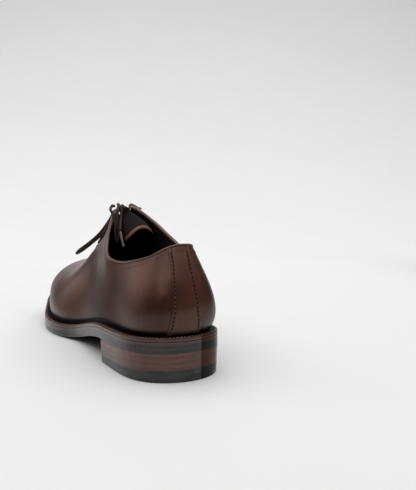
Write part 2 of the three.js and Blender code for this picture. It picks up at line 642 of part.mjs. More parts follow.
// The bow. Its points are distances from the middle of the knot, which sits on the uppermost bar.
const knotMiddle = (() => {
  const ends = laceBarPath(eyeletPlaces[0]).slice(3, 5);
  const middle = ends[0].lerp(ends[1], 0.5);
  middle.x -= KNOT_BEHIND;
  middle.z += LACE / 2 + 2 * JOIN_GAP + KNOT_HEIGHT / 2;
  return middle;
})();
const bow = {
  loop_1: [
    [6.3, 4.8, -1.4], [13.3, 8.7, -11.8], [22.1, 14.8, -23.5], [30.9, 22.4, -32.6],
    [38.4, 28.7, -39.2], [44.7, 29.3, -42.7], [50, 23.3, -41.3], [46, 14.6, -34.1],
    [35.2, 7.3, -24.3], [23.8, 3.2, -13.8], [9.3, 2.1, -3.4],
  ],
  loop_2: [
    [-0.2, 7.5, 2.3], [-5.4, 11.1, 3.1], [-9.9, 13.9, 0.7], [-13.3, 14.5, -0.5],
    [-17.5, 13.1, -5.1], [-20.6, 13.2, -12.9], [-23.1, 14.1, -20.9], [-23.9, 13.1, -25.5],
    [-23.3, 11.7, -22.4], [-21.5, 11.3, -15.9], [-18.3, 10.9, -8.7], [-15.3, 9.5, -2.9],
    [-11.5, 7.7, 1.7], [-6.9, 5.7, 4.1], [-2.9, 5.3, 4],
  ],
  end_1: [
    [-5.1, 2.1, 3], [-9.5, 3.5, 2.8], [-14.1, 5.9, -2.9], [-18.5, 7.9, -8.1],
    [-23.5, 9.8, -12.8], [-26.8, 11.1, -15.9],
  ],
  tip_1: [
    [-27.5, 11.2, -16.8], [-29.9, 10.8, -22.9], [-32.3, 10, -29.1],
  ],
  end_2: [
    [0.8, -6.7, 1.7], [4.8, -8.9, 2.7], [11.3, -12.5, 2], [18.7, -16.5, 0.7],
    [26.9, -21.3, -1],
  ],
  tip_2: [
    [27.6, -21.7, -1.2], [31.9, -25.3, -2.3], [36.1, -29.3, -3.5],
  ],
};

// The knot: a rounded lump, longer across the throat than it is high
function knotGeometry() {
  const lump = new THREE.SphereGeometry(0.5, 12, 8);
  lump.scale(KNOT_WIDTH, KNOT_LENGTH, KNOT_HEIGHT);
  return lump.translate(knotMiddle.x, knotMiddle.y, knotMiddle.z);
}

// Colours and finish
const finish = (color, roughness, metalness = 0) =>
  new THREE.MeshStandardMaterial({ color, roughness, metalness });
const calf = finish(0x4a2a22, 0.35);
const trim = finish(0x6b4033, 0.5);
const soleLeather = finish(0x4b2a23, 0.45);
const rubber = finish(0x1f1f20, 0.7);
const stack = finish(0x55281c, 0.4);
const lining = finish(0x120e0d, 0.85);
const waxedCord = finish(0x2b1a17, 0.6);
const hardPlastic = finish(0x6f6a69, 0.4);

const shoe = new THREE.Group();
shoe.position.x = -HEEL_LENGTH / 2;

function add(name, geometry, material) {
  const mesh = new THREE.Mesh(geometry, material);
  mesh.name = name;
  shoe.add(mesh);
}

const heelTop = (x) => HEEL_HEIGHT - (HEEL_DROP * x) / HEEL_LENGTH;
const LIFT_PITCH = (HEEL_HEIGHT - TOP_PIECE_HEIGHT) / LIFT_COUNT;
const liftTop = (k) => (x) => heelTop(x) - (LIFT_COUNT - k) * LIFT_PITCH - JOIN_GAP;
const liftFoot = (k) => (x) => liftTop(k - 1)(x) + JOIN_GAP;
add("top_piece", heelPiece(() => 0, liftTop(0)), rubber);
for (let k = 1; k <= LIFT_COUNT; k++) add(`heel_lift_${k}`, heelPiece(liftFoot(k), liftTop(k)), stack);
add("outsole", plateGeometry(treadHeight, (x) => treadHeight(x) + OUTSOLE, soleWelt, outsoleEdge), rubber);
add("midsole", plateGeometry(midsoleFoot, (x) => midsoleFoot(x) + MIDSOLE, soleWelt, plainEdge), soleLeather);
add("welt", weltGeometry(), soleLeather);
add("insole", insoleGeometry(), lining);
add("upper", punchedUpper(), calf);
add("collar_binding", bindingGeometry(), trim);
add("back_strip", backStripGeometry(), calf);
add("tongue", tongueGeometry(), lining);
eyeletPlaces.forEach((u, k) => add(`lace_bar_${k + 1}`, cordGeometry(laceBarPath(u), LACE, 9, 6), waxedCord));
add("lace_knot", knotGeometry(), waxedCord);
for (const [name, offsets] of Object.entries(bow)) {
  const points = offsets.map((offset) => knotMiddle.clone().add(new THREE.Vector3(...offset)));
  const tip = name.startsWith("tip");
  add(`lace_${name}`, cordGeometry(points, LACE, tip ? 3 : 2 * points.length, 6), tip ? hardPlastic : waxedCord);
}

export default shoe;
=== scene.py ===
# A man's whole cut oxford for the left foot, in metres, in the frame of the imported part.
# X runs from heel to toe, Y to the outer side of the foot and Z up. Sizes are typed in millimetres.
import math

import bmesh
import bpy
import numpy as np
from mathutils import Matrix, Vector


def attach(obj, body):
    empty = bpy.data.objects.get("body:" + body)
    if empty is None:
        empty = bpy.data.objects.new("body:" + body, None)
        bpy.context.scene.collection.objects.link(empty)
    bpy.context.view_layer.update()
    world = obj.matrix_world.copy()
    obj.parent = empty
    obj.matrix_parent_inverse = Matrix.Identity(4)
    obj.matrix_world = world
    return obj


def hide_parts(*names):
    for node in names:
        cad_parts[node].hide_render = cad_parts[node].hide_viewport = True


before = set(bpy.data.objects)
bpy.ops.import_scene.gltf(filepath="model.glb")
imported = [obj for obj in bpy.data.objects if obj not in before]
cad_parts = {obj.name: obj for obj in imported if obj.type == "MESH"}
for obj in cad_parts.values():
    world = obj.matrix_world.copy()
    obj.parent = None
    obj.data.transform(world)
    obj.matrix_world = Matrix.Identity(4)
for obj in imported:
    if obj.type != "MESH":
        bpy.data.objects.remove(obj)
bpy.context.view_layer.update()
MM = 0.001

# Camera: a long lens behind the shoe and a little to its outer side, above the collar.
CAMERA_PLACE = (-0.57018, 0.21828, 0.16943)
CAMERA_YAW, CAMERA_PITCH = -0.417, -0.122
lens = bpy.data.cameras.new("camera")
lens.lens, lens.sensor_width = 60.65, 36
lens.clip_start, lens.clip_end = 0.05, 20
camera = bpy.data.objects.new("camera", lens)
bpy.context.collection.objects.link(camera)
camera.location = CAMERA_PLACE
aim = Vector((
    math.cos(CAMERA_PITCH) * math.cos(CAMERA_YAW),
    math.cos(CAMERA_PITCH) * math.sin(CAMERA_YAW),
    math.sin(CAMERA_PITCH),
))
camera.rotation_euler = aim.to_track_quat("-Z", "Y").to_euler()
bpy.context.scene.camera = camera


# Bow: the free part of one round waxed cotton cord, tied over the top eyelets. One long loop falls over
# the vamp, a short one and an end hang in the collar, and the other end sticks out to the inner side.
LACE = 2.4
KNOT_MIDDLE = np.array([109.7, -2.3, 113.9])
BOW_LINES = {
    "lace_loop_1": [
        [6.3, 4.8, -1.4], [13.3, 8.7, -11.8], [22.1, 14.8, -23.5], [30.9, 22.4, -32.6],
        [38.4, 28.7, -39.2], [44.7, 29.3, -42.7], [50, 23.3, -41.3], [46, 14.6, -34.1],
        [35.2, 7.3, -24.3], [23.8, 3.2, -13.8], [9.3, 2.1, -3.4],
    ],
    "lace_loop_2": [
        [-0.2, 7.5, 2.3], [-5.4, 11.1, 3.1], [-9.9, 13.9, 0.7], [-13.3, 14.5, -0.5],
        [-17.5, 13.1, -5.1], [-20.6, 13.2, -12.9], [-23.1, 14.1, -20.9], [-23.9, 13.1, -25.5],
        [-23.3, 11.7, -22.4], [-21.5, 11.3, -15.9], [-18.3, 10.9, -8.7], [-15.3, 9.5, -2.9],
        [-11.5, 7.7, 1.7], [-6.9, 5.7, 4.1], [-2.9, 5.3, 4],
    ],
    "lace_end_1": [
        [-5.1, 2.1, 3], [-9.5, 3.5, 2.8], [-14.1, 5.9, -2.9], [-18.5, 7.9, -8.1],
        [-23.5, 9.8, -12.8], [-26.8, 11.1, -15.9],
    ],
    "lace_tip_1": [
        [-27.5, 11.2, -16.8], [-29.9, 10.8, -22.9], [-32.3, 10, -29.1],
    ],
    "lace_end_2": [
        [0.8, -6.7, 1.7], [4.8, -8.9, 2.7], [11.3, -12.5, 2], [18.7, -16.5, 0.7],
        [26.9, -21.3, -1],
    ],
    "lace_tip_2": [
        [27.6, -21.7, -1.2], [31.9, -25.3, -2.3], [36.1, -29.3, -3.5],
    ],
}


def smooth_line(points, steps=10):
    """Centripetal smooth line through points, with steps for each gap."""
    p = np.asarray(points, float)
    p = np.vstack([2 * p[0] - p[1], p, 2 * p[-1] - p[-2]])
    line = []
    for k in range(1, len(p) - 2):
        a, b, c, d = p[k - 1 : k + 3]
        gaps = [np.sqrt(np.linalg.norm(q - r)) for q, r in ((b, a), (c, b), (d, c))]
        leave = (b - a) / gaps[0] - (c - a) / (gaps[0] + gaps[1]) + (c - b) / gaps[1]
        arrive = (c - b) / gaps[1] - (d - b) / (gaps[1] + gaps[2]) + (d - c) / gaps[2]
        leave, arrive = leave * gaps[1], arrive * gaps[1]
        for s in np.arange(steps) / steps:
            line.append(
                b * (2 * s**3 - 3 * s**2 + 1) + leave * (s**3 - 2 * s**2 + s)
                + c * (3 * s**2 - 2 * s**3) + arrive * (s**3 - s**2)
            )
    return np.array([*line, p[-2]])


def add_mesh(name, points, faces, materials, slot, uvs=None, face_slots=None, sharp=40):
    """One piece from points in millimetres, faces turned outwards, riding on the shoe."""
    mesh = bpy.data.meshes.new(name)
    mesh.from_pydata([tuple(p) for p in np.asarray(points) * MM], [], faces)
    if uvs is not None:
        layer = mesh.uv_layers.new(name="run")
        for loop in mesh.loops:
            layer.data[loop.index].uv = uvs[loop.vertex_index]
    for material in materials:
        mesh.materials.append(material)
    if face_slots is not None:
        mesh.polygons.foreach_set("material_index", face_slots)
    work = bmesh.new()
    work.from_mesh(mesh)
    bmesh.ops.remove_doubles(work, verts=work.verts, dist=1e-7)
    bmesh.ops.recalc_face_normals(work, faces=work.faces)
    work.to_mesh(mesh)
    work.free()
    mesh.polygons.foreach_set("use_smooth", [True] * len(mesh.polygons))
    mesh.set_sharp_from_angle(angle=math.radians(sharp))
    piece = bpy.data.objects.new(name, mesh)
    bpy.context.collection.objects.link(piece)
    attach(piece, "root")
    return piece


def tube(line, width, sides=14, taper=0.35):
    """Points, faces and lengthwise coordinates of a round cord along a line, its ends drawn in."""
    line = np.asarray(line, float)
    along = np.gradient(line, axis=0)
    along /= np.linalg.norm(along, axis=1)[:, None]
    run = np.concatenate([[0], np.cumsum(np.linalg.norm(np.diff(line, axis=0), axis=1))])
    across = np.cross(along[0], [0.3, 0.2, 0.93])
    rows, coordinates = [], []
    for k, (place, ahead) in enumerate(zip(line, along)):
        across = across - ahead * (across @ ahead)
        across /= np.linalg.norm(across)
        up = np.cross(ahead, across)
        near_end = min(run[k], run[-1] - run[k])
        half = width / 2 * (1 if near_end > taper else 0.8 + 0.2 * near_end / taper)
        for turn in np.arange(sides) * 2 * math.pi / sides:
            rows.append(place + half * (math.cos(turn) * across + math.sin(turn) * up))
            coordinates.append((turn / (2 * math.pi), run[k] / width))
    faces = []
    for k in range(len(line) - 1):
        for s in range(sides):
            a, b = k * sides + s, k * sides + (s + 1) % sides
            faces.append((a, b, b + sides, a + sides))
    faces += [tuple(range(sides)), tuple(range((len(line) - 1) * sides, len(line) * sides))]
    return rows, faces, coordinates


def put_together(parts):
    """Several sets of points, faces and coordinates as one."""
    points, faces, coordinates = [], [], []
    for more, some, run in parts:
        faces += [tuple(i + len(points) for i in face) for face in some]
        points += list(more)
        coordinates += list(run)
    return points, faces, coordinates


class Nodes:
    """Short words for adding shader nodes to a tree and joining them."""

    def __init__(self, tree):
        self.tree = tree

    def add(self, kind, values=(), **settings):
        node = self.tree.nodes.new(kind)
        for key, value in settings.items():
            setattr(node, key, value)
        for key, value in dict(values).items():
            if isinstance(value, bpy.types.NodeSocket):
                self.tree.links.new(value, node.inputs[key])
            else:
                node.inputs[key].default_value = value
        return node

    def math(self, operation, *values, clamp=False):
        return self.add("ShaderNodeMath", dict(enumerate(values)), operation=operation, use_clamp=clamp).outputs[0]

    def mix(self, share, low, high, blend="MIX"):
        node = self.add("ShaderNodeMix", {0: share, 6: low, 7: high}, data_type="RGBA", blend_type=blend)
        return node.outputs[2]

    def ramp(self, value, low, high):
        return self.add("ShaderNodeMapRange", {0: value, 1: low, 2: high}, interpolation_type="SMOOTHSTEP").outputs[0]


def effect(name, inputs, outputs):
    """A shader node group with named sockets: its nodes, its inputs and its output node."""
    tree = bpy.data.node_groups.new(name, "ShaderNodeTree")
    for kind, direction, sockets in ((inputs, "INPUT", inputs), (outputs, "OUTPUT", outputs)):
        for label, value in sockets.items():
            flavour = "NodeSocketFloat" if isinstance(value, (int, float)) else "NodeSocketColor"
            if value is None:
                flavour = "NodeSocketVector"
            socket = tree.interface.new_socket(name=label, in_out=direction, socket_type=flavour)
            if value is not None and direction == "INPUT":
                socket.default_value = value
    n = Nodes(tree)
    return n, n.add("NodeGroupInput").outputs, n.add("NodeGroupOutput")


def join(n, output, values):
    for label, socket in values.items():
        n.tree.links.new(socket, output.inputs[label])


# Braided cord seen close: two sets of strands that cross on a slant round the cord, with painted shade in the grooves
# between them
n, given, out = effect("braid", {"Strands": 6.0, "Pitch": 1.0}, {"Height": 0.0, "Groove_shade": 0.0})
run = n.add("ShaderNodeUVMap", uv_map="run").outputs[0]
split = n.add("ShaderNodeSeparateXYZ", {0: run}).outputs
round_it = n.math("MULTIPLY", split[0], given["Strands"])
down_it = n.math("MULTIPLY", split[1], given["Pitch"])
left = n.math("SINE", n.math("MULTIPLY", n.math("ADD", round_it, down_it), 2 * math.pi))
right = n.math("SINE", n.math("MULTIPLY", n.math("SUBTRACT", round_it, down_it), 2 * math.pi))
weave = n.math("MULTIPLY", left, right)
join(n, out, {"Height": weave, "Groove_shade": n.ramp(n.math("ABSOLUTE", weave), 0.35, 0.0)})

# Uneven colour, such as dye or polish leaves: a light and a dark tone in soft clouds of two sizes
n, given, out = effect(
    "clouds", {"Light": (0.5, 0.5, 0.5, 1), "Dark": (0.1, 0.1, 0.1, 1), "Size": 30.0, "Stretch": 1.0, "Edge": 0.15},
    {"Color": (0, 0, 0, 1), "Mask": 0.0},
)
place = n.add("ShaderNodeTexCoord").outputs["Object"]
squeeze = n.add("ShaderNodeCombineXYZ", {0: 1.0, 1: 1.0, 2: given["Stretch"]}).outputs[0]
place = n.add("ShaderNodeVectorMath", {0: place, 1: squeeze}, operation="MULTIPLY").outputs[0]
broad = n.add("ShaderNodeTexNoise", {"Vector": place, "Scale": given["Size"], "Detail": 3.0}).outputs[0]
fine_size = n.math("MULTIPLY", given["Size"], 7.0)
fine = n.add("ShaderNodeTexNoise", {"Vector": place, "Scale": fine_size, "Detail": 2.0}).outputs[0]
blend = n.math("ADD", n.math("MULTIPLY", broad, 0.75), n.math("MULTIPLY", fine, 0.25))
low = n.math("SUBTRACT", 0.5, given["Edge"])
high = n.math("ADD", 0.5, given["Edge"])
mask = n.ramp(blend, low, high)
join(n, out, {"Color": n.mix(mask, given["Dark"], given["Light"]), "Mask": mask})

# Fine skin: pores and small wrinkles, as a bump for any leather
n, given, out = effect("skin", {"Size": 900.0, "Depth": 0.1, "Normal": None}, {"Normal": None, "Pores": 0.0})
place = n.add("ShaderNodeTexCoord").outputs["Object"]
cells = n.add("ShaderNodeTexVoronoi", {"Vector": place, "Scale": given["Size"]}, feature="DISTANCE_TO_EDGE").outputs[0]
creases = n.ramp(cells, 0.0, 0.16)
wrinkle_size = n.math("MULTIPLY", given["Size"], 0.3)
wrinkles = n.add("ShaderNodeTexNoise", {"Vector": place, "Scale": wrinkle_size, "Detail": 4.0}).outputs[0]
height = n.math("ADD", n.math("MULTIPLY", creases, 0.4), wrinkles)
bump = n.add("ShaderNodeBump", {"Strength": given["Depth"], "Distance": 0.0002, "Height": height})
bump.name = "skin_bump"
n.tree.links.new(given["Normal"], bump.inputs["Normal"])
join(n, out, {"Normal": bump.outputs[0], "Pores": n.math("SUBTRACT", 1.0, creases)})


def new_material(name):
    """A material's nodes and its main shader."""
    material = bpy.data.materials.new(name)
    material.use_nodes = True
    n = Nodes(material.node_tree)
    shader = n.tree.nodes["Principled BSDF"]
    return material, n, shader


def use(n, name, values):
    node = n.add("ShaderNodeGroup", node_tree=bpy.data.node_groups[name])
    for key, value in values.items():
        if isinstance(value, bpy.types.NodeSocket):
            n.tree.links.new(value, node.inputs[key])
        else:
            node.inputs[key].default_value = value
    return node.outputs


def wire(n, shader, values):
    """Sets or joins the main shader's sockets."""
    for key, value in values.items():
        if isinstance(value, bpy.types.NodeSocket):
            n.tree.links.new(value, shader.inputs[key])
        else:
            shader.inputs[key].default_value = value


waxed_cord, n, shader = new_material("waxed_cord")
braid = use(n, "braid", {"Strands": 6.0, "Pitch": 1.1})
tone = use(n, "clouds", {"Light": (0.05, 0.025, 0.02, 1), "Dark": (0.022, 0.011, 0.009, 1), "Size": 90.0})
bump = n.add("ShaderNodeBump", {"Strength": 0.5, "Distance": 0.00018, "Height": braid["Height"]}).outputs[0]
# Painted shade darkens the cord's colour in the grooves between its strands
wire(n, shader, {
    "Base Color": n.mix(n.math("MULTIPLY", braid["Groove_shade"], 0.5), tone["Color"], (0.012, 0.006, 0.005, 1)),
    "Roughness": n.math("ADD", 0.46, n.math("MULTIPLY", tone["Mask"], 0.12)),
    "Specular IOR Level": 0.25,
    "Normal": bump,
})

tip_plastic, n, shader = new_material("tip_plastic")
tone = use(n, "clouds", {"Light": (0.25, 0.235, 0.225, 1), "Dark": (0.16, 0.145, 0.14, 1), "Size": 260.0})
seam = n.add("ShaderNodeTexNoise", {"Scale": 1500.0, "Detail": 2.0}).outputs[0]
wire(n, shader, {
    "Base Color": tone["Color"],
    "Roughness": n.math("ADD", 0.26, n.math("MULTIPLY", tone["Mask"], 0.15)),
    "Normal": n.add("ShaderNodeBump", {"Strength": 0.15, "Distance": 0.0001, "Height": seam}).outputs[0],
})

# Each tip is a plastic tube rolled tight round the cord's end
TIP_WIDTH = 2.0
bow = {}
for name, offsets in BOW_LINES.items():
    tip = name.startswith("lace_tip")
    line = smooth_line(KNOT_MIDDLE + np.array(offsets))
    points, faces, run = tube(line, TIP_WIDTH if tip else LACE)
    bow[name] = add_mesh(name, points, faces, [tip_plastic if tip else waxed_cord], "lace_tip" if tip else "lace", run)
    bow[name]["line"] = (line * MM).ravel().tolist()
    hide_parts(name)

# The knot: two turns of the cord side by side, held by one turn over their middle
KNOT_TURNS = [
    [[-1.4, -4.6, -1.0], [-1.7, -2.6, 0.7], [-1.8, 0.0, 1.3], [-1.6, 2.6, 0.8], [-1.3, 4.6, -0.8]],
    [[1.5, -4.7, -0.6], [1.7, -2.5, 0.9], [1.7, 0.0, 1.4], [1.5, 2.5, 0.7], [1.2, 4.6, -1.0]],
    [[-2.6, -0.6, -1.8], [-2.9, -0.3, 0.4], [-1.4, 0.1, 2.4], [0.8, 0.4, 2.6], [2.8, 0.7, 0.8], [2.5, 0.9, -1.7]],
    [[-2.2, -3.4, -1.6], [0.0, -1.4, -1.9], [0.6, 1.4, -1.9], [2.2, 3.4, -1.6]],
]
turns = [tube(smooth_line(KNOT_MIDDLE + np.array(turn)), LACE) for turn in KNOT_TURNS]
knot = add_mesh("lace_knot", *put_together(turns)[:2], [waxed_cord], "lace", put_together(turns)[2])
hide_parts("lace_knot")


def declare_cord(name):
    line = np.array(bow[name]["line"]).reshape(-1, 3)


declare_cord("lace_loop_1")
declare_cord("lace_loop_2")
declare_cord("lace_end_1")
declare_cord("lace_end_2")


# Upper: one piece of burnished calf with its lining, lasted over the foot's form, cut away at the
# collar and slit down to the vamp. Five pairs of plain eyelets are punched through its facings.
LAST_LENGTH, BALL_WIDTH, INSTEP_HEIGHT, BACK_HEIGHT, WALL = 291, 92, 98, 63.348, 2.2
HEEL_HEIGHT, HEEL_DROP, HEEL_LENGTH = 22, 3.5, 78
OUTSOLE, MIDSOLE, WELT, JOIN_GAP = 5.6, 2.1, 2.6, 0.3
TOE_SPRING, BALL_FLAT, BALL_AT, WELT_WIDTH = 13, 26, 0.655, 6
THROAT_GAP, THROAT_SPREAD, THROAT_LENGTH = 4.6, 12, 55
THROAT_TOP = WELT_WIDTH + 0.477 * LAST_LENGTH
THROAT_FOOT = THROAT_TOP + THROAT_LENGTH
THROAT_FOOT_ROUND, CORNER_ROUND, TOE_SLOPE = 5, 7, 0.25
SECTION_COLUMNS = "at turn spine outer inner bulge_out bulge_in wall top reach reach_in lead crown drop".split()
SECTIONS = np.array([
    [0.112, 180, 0, 0.359, 0.359, 0.183, 0.183, 0.224, 0.796, 0.2, 0.229, 0, 0.082, 0.235],
    [0.112, 150, 0, 0.36, 0.359, 0.238, 0.238, 0.224, 0.796, 0.134, 0.196, 0, 0.081, 0.235],
    [0.112, 120, 0, 0.348, 0.353, 0.165, 0.165, 0.224, 0.806, 0.118, 0.135, 0, 0.052, 0.235],
    [0.119, 90, 0, 0.348, 0.342, 0.087, 0.078, 0.235, 0.816, 0.163, 0.174, 0, 0.043, 0.235],
    [0.201, 90, 0, 0.365, 0.332, 0.025, 0.096, 0.255, 0.847, 0.215, 0.228, 0, 0.042, 0.245],
    [0.297, 90, 0, 0.372, 0.299, -0.02, 0.123, 0.306, 0.94, 0.245, 0.263, 0, 0.082, 0.265],
    [0.399, 90, -0.02, 0.389, 0.283, -0.034, 0.125, 0.347, 1.143, 0.065, 0.065, 0, 0.127, 0.082],
    [0.502, 90, -0.025, 0.404, 0.315, -0.011, 0.109, 0.367, 0.974, 0, 0, 0, 0.112, 0],
    [0.587, 90, -0.022, 0.484, 0.381, 0.011, 0.076, 0.32, 0.795, 0, 0, 0, 0.137, 0],
    [0.672, 90, -0.02, 0.525, 0.446, 0.041, 0.054, 0.28, 0.594, 0, 0, 0, 0.201, 0],
    [0.758, 90, -0.026, 0.503, 0.462, 0.076, 0.049, 0.244, 0.496, 0, 0, 0, 0.268, 0],
    [0.843, 90, -0.033, 0.435, 0.413, 0.103, 0.043, 0.216, 0.431, 0, 0, 0, 0.279, 0],
    [0.857, 64, -0.035, 0.406, 0.402, 0.099, 0.04, 0.193, 0.426, 0, 0, 0.007, 0.257, 0],
    [0.857, 40, -0.035, 0.43, 0.42, 0.078, 0.038, 0.158, 0.414, 0, 0, 0.022, 0.223, 0],
    [0.857, 18, -0.035, 0.452, 0.449, 0.054, 0.034, 0.148, 0.404, 0, 0, 0.032, 0.195, 0],
    [0.857, 0, -0.035, 0.457, 0.457, 0.033, 0.033, 0.143, 0.4, 0, 0, 0.036, 0.179, 0],
])
TOPLINE = np.array([  # place along the last, height on the outer side, height on the inner side
    [-0.02, 1.02, 1.02],
    [0.025, 1, 1],
    [0.075, 0.848, 0.918],
    [0.143, 0.762, 0.841],
    [0.211, 0.715, 0.803],
    [0.28, 0.724, 0.828],
    [0.341, 0.799, 0.937],
    [0.392, 0.934, 1.075],
    [0.433, 1.114, 1.186],
    [0.467, 1.308, 1.32],
    [0.501, 1.586, 1.586],
])
TOE = len(SECTIONS) - 1
ROUND = 2 * TOE
SOLE_LENGTH = LAST_LENGTH + 2 * WELT_WIDTH
SOLE_STACK = OUTSOLE + MIDSOLE + WELT + 3 * JOIN_GAP


def tread_height(x):
    """Height of the tread: heel top, shank, flat under the ball and toe spring."""
    flat_start = SOLE_LENGTH * BALL_AT - BALL_FLAT / 2
    flat_end = flat_start + BALL_FLAT
    span = flat_start - HEEL_LENGTH
    k = (x - HEEL_LENGTH) / span
    waist = ((HEEL_HEIGHT - HEEL_DROP) * (1 + 2 * k) - HEEL_DROP / HEEL_LENGTH * span * k) * (1 - k) ** 2
    toe = TOE_SPRING * (np.maximum(x - flat_end, 0) / (SOLE_LENGTH - flat_end)) ** 1.8
    heel = HEEL_HEIGHT - HEEL_DROP * x / HEEL_LENGTH
    return np.where(x <= HEEL_LENGTH, heel, np.where(x <= flat_start, waist, toe))


def section_handles(index):
    row = dict(zip(SECTION_COLUMNS, SECTIONS[index if index <= TOE else ROUND - index]))
    side = 1 if index <= TOE else -1
    reach, bulge, top_reach = (row[k] for k in (
        ("outer", "bulge_out", "reach") if side > 0 else ("inner", "bulge_in", "reach_in")))
    turn = math.radians(row["turn"])
    out = np.array([math.cos(turn), side * math.sin(turn), 0])
    axis = np.array([WELT_WIDTH + row["at"] * LAST_LENGTH, row["spine"] * BALL_WIDTH, 0])
    feather = axis + out * reach * BALL_WIDTH
    feather[2] = tread_height(feather[0]) + SOLE_STACK
    wall = feather + out * bulge * BALL_WIDTH + [0, 0, row["wall"] * INSTEP_HEIGHT]
    top = axis + out * top_reach * BALL_WIDTH + [row["lead"] * LAST_LENGTH, 0, 0]
    top[2] = tread_height(top[0]) + SOLE_STACK + row["top"] * INSTEP_HEIGHT
    crown = top + out * row["crown"] * BALL_WIDTH
    crown[2] -= row["drop"] * INSTEP_HEIGHT + max(out[0], 0) * row["crown"] * BALL_WIDTH * TOE_SLOPE
    return [feather, wall, crown, top]


handles = np.array([section_handles(i) for i in range(ROUND)])
ring = np.eye(ROUND) * 4 + np.roll(np.eye(ROUND), 1, 0) + np.roll(np.eye(ROUND), -1, 0)
knots = np.linalg.solve(ring / 6, handles.reshape(ROUND, -1)).reshape(handles.shape)


def guides(u):
    """The four guide curves of the last at places u round it."""
    u = np.asarray(u, float)
    i = np.floor(u).astype(int)
    f = (u - i)[..., None, None]
    near = [knots[(i + k) % ROUND] for k in (-1, 0, 1, 2)]
    return (
        (1 - f) ** 3 * near[0] + (3 * f**3 - 6 * f**2 + 4) * near[1]
        + (-3 * f**3 + 3 * f**2 + 3 * f + 1) * near[2] + f**3 * near[3]
    ) / 6


def last_point(u, t):
    g, t = guides(u), np.asarray(t, float)[..., None]
    return (1 - t) ** 3 * g[..., 0, :] + 3 * (1 - t) ** 2 * t * g[..., 1, :] \
        + 3 * (1 - t) * t**2 * g[..., 2, :] + t**3 * g[..., 3, :]


def last_normal(u, t, top=0.995):
    t = np.minimum(t, top)
    along = last_point(u + 0.01, t) - last_point(u - 0.01, t)
    upward = last_point(u, t + 0.005) - last_point(u, t - 0.005)
    normal = np.cross(upward, along)
    return normal / np.linalg.norm(normal, axis=-1, keepdims=True)


def ridge_side(u):
    return (guides(u)[..., 3, 1] + guides(ROUND - np.asarray(u))[..., 3, 1]) / 2


def side_of(u):
    return np.where(np.mod(u, ROUND) <= TOE, 1, -1)


def topline_height(share, column):
    at, height = TOPLINE[:, 0], TOPLINE[:, column]
    slope = np.array([
        (height[min(i + 1, len(at) - 1)] - height[max(i - 1, 0)]) / (at[min(i + 1, len(at) - 1)] - at[max(i - 1, 0)])
        for i in range(len(at))
    ])
    x = np.clip(share, at[0], at[-1])
    i = np.clip(np.searchsorted(at, x, side="right") - 1, 0, len(at) - 2)
    span = at[i + 1] - at[i]
    k = (x - at[i]) / span
    start = height[i] * (1 + 2 * k) + slope[i] * span * k
    end = height[i + 1] * (3 - 2 * k) + slope[i + 1] * span * (k - 1)
    return start * (1 - k) ** 2 + end * k**2


def throat_opening(x):
    return THROAT_GAP + (THROAT_SPREAD - THROAT_GAP) * np.clip((THROAT_FOOT - x) / THROAT_LENGTH, 0, 1.3)


def edge_distance(u, t):
    """How far a point of the last lies under the topline and beside the throat."""
    p = last_point(u, t)
    share = (p[..., 0] - WELT_WIDTH) / LAST_LENGTH
    height = np.where(side_of(u) > 0, topline_height(share, 1), topline_height(share, 2)) * BACK_HEIGHT
    under = tread_height(0) + SOLE_STACK + height - p[..., 2]
    closing = np.sqrt(np.clip((THROAT_FOOT - p[..., 0]) / THROAT_FOOT_ROUND, 0, 1))
    aside = np.where(p[..., 0] > HEEL_LENGTH, side_of(u) * (p[..., 1] - ridge_side(u)), BALL_WIDTH)
    beside = aside - throat_opening(p[..., 0]) / 2 * closing
    near = np.maximum(CORNER_ROUND - np.abs(under - beside), 0) / CORNER_ROUND
    return np.minimum(under, beside) - near**2 * CORNER_ROUND / 4


def level_where(test, u, low=0.2):
    """Level at which a falling test passes zero, for each place u."""
    u = np.asarray(u, float)
    low, high = np.full(u.shape, low), np.ones(u.shape)
    for _ in range(30):
        middle = (low + high) / 2
        over = test(u, middle) > 0
        low, high = np.where(over, middle, low), np.where(over, high, middle)
    return (low + high) / 2


def edge_level(u, inside=0.0):
    """Level of the open edge, or of a line that runs inside it."""
    level = level_where(lambda v, t: edge_distance(v, t) - inside, u)
    return np.where(guides(u)[..., 3, 0] >= THROAT_FOOT + inside, 1.0, level)


def place_at(x):
    """Place round the outer side at which the ridge passes x."""
    low, high = 5.5, float(TOE)
    for _ in range(40):
        middle = (low + high) / 2
        low, high = (middle, high) if guides(middle)[3, 0] < x else (low, middle)
    return (low + high) / 2


def level_at_spread(u, spread):
    return level_where(lambda v, t: np.abs(last_point(v, t)[..., 1] - ridge_side(v)) - spread, u, 0.3)


def on_shoe(p):
    """From the last's own frame, whose x starts at the back of the welt, to the shoe's frame."""
    return np.asarray(p) - [HEEL_LENGTH / 2, 0, 0]


# Creases and hollows pressed into the upper: middle, direction in plan, half length, half width, depth
UPPER_CREASES = [
    (158, 6, 78, 15, 2.6, 0.45), (166, -5, 92, 20, 3.2, 0.5), (175, 4, 86, 24, 3.8, 0.35),
    (150, -14, 118, 9, 2.4, 0.4), (146, 16, 60, 9, 2.6, 0.45), (186, 12, 74, 16, 4.5, 0.25),
]
QUARTER_HOLLOWS = [  # x, height, direction, half length, half width, depth, side
    (92, 58, 62, 20, 8, 0.35, 1), (112, 52, 74, 24, 9, 0.25, 1), (70, 40, 12, 26, 7, 0.25, 1),
    (92, 62, 66, 20, 8, 0.7, -1), (66, 44, 14, 24, 7, 0.5, -1),
]


def trough(a, b, direction, half_length, half_width):
    turn = math.radians(direction)
    along = a * math.cos(turn) + b * math.sin(turn)
    over = -a * math.sin(turn) + b * math.cos(turn)
    bend = 0.06 * along**2 / half_length
    return np.exp(-(((over + bend) / half_width) ** 2)) * np.exp(-((along / half_length) ** 4))


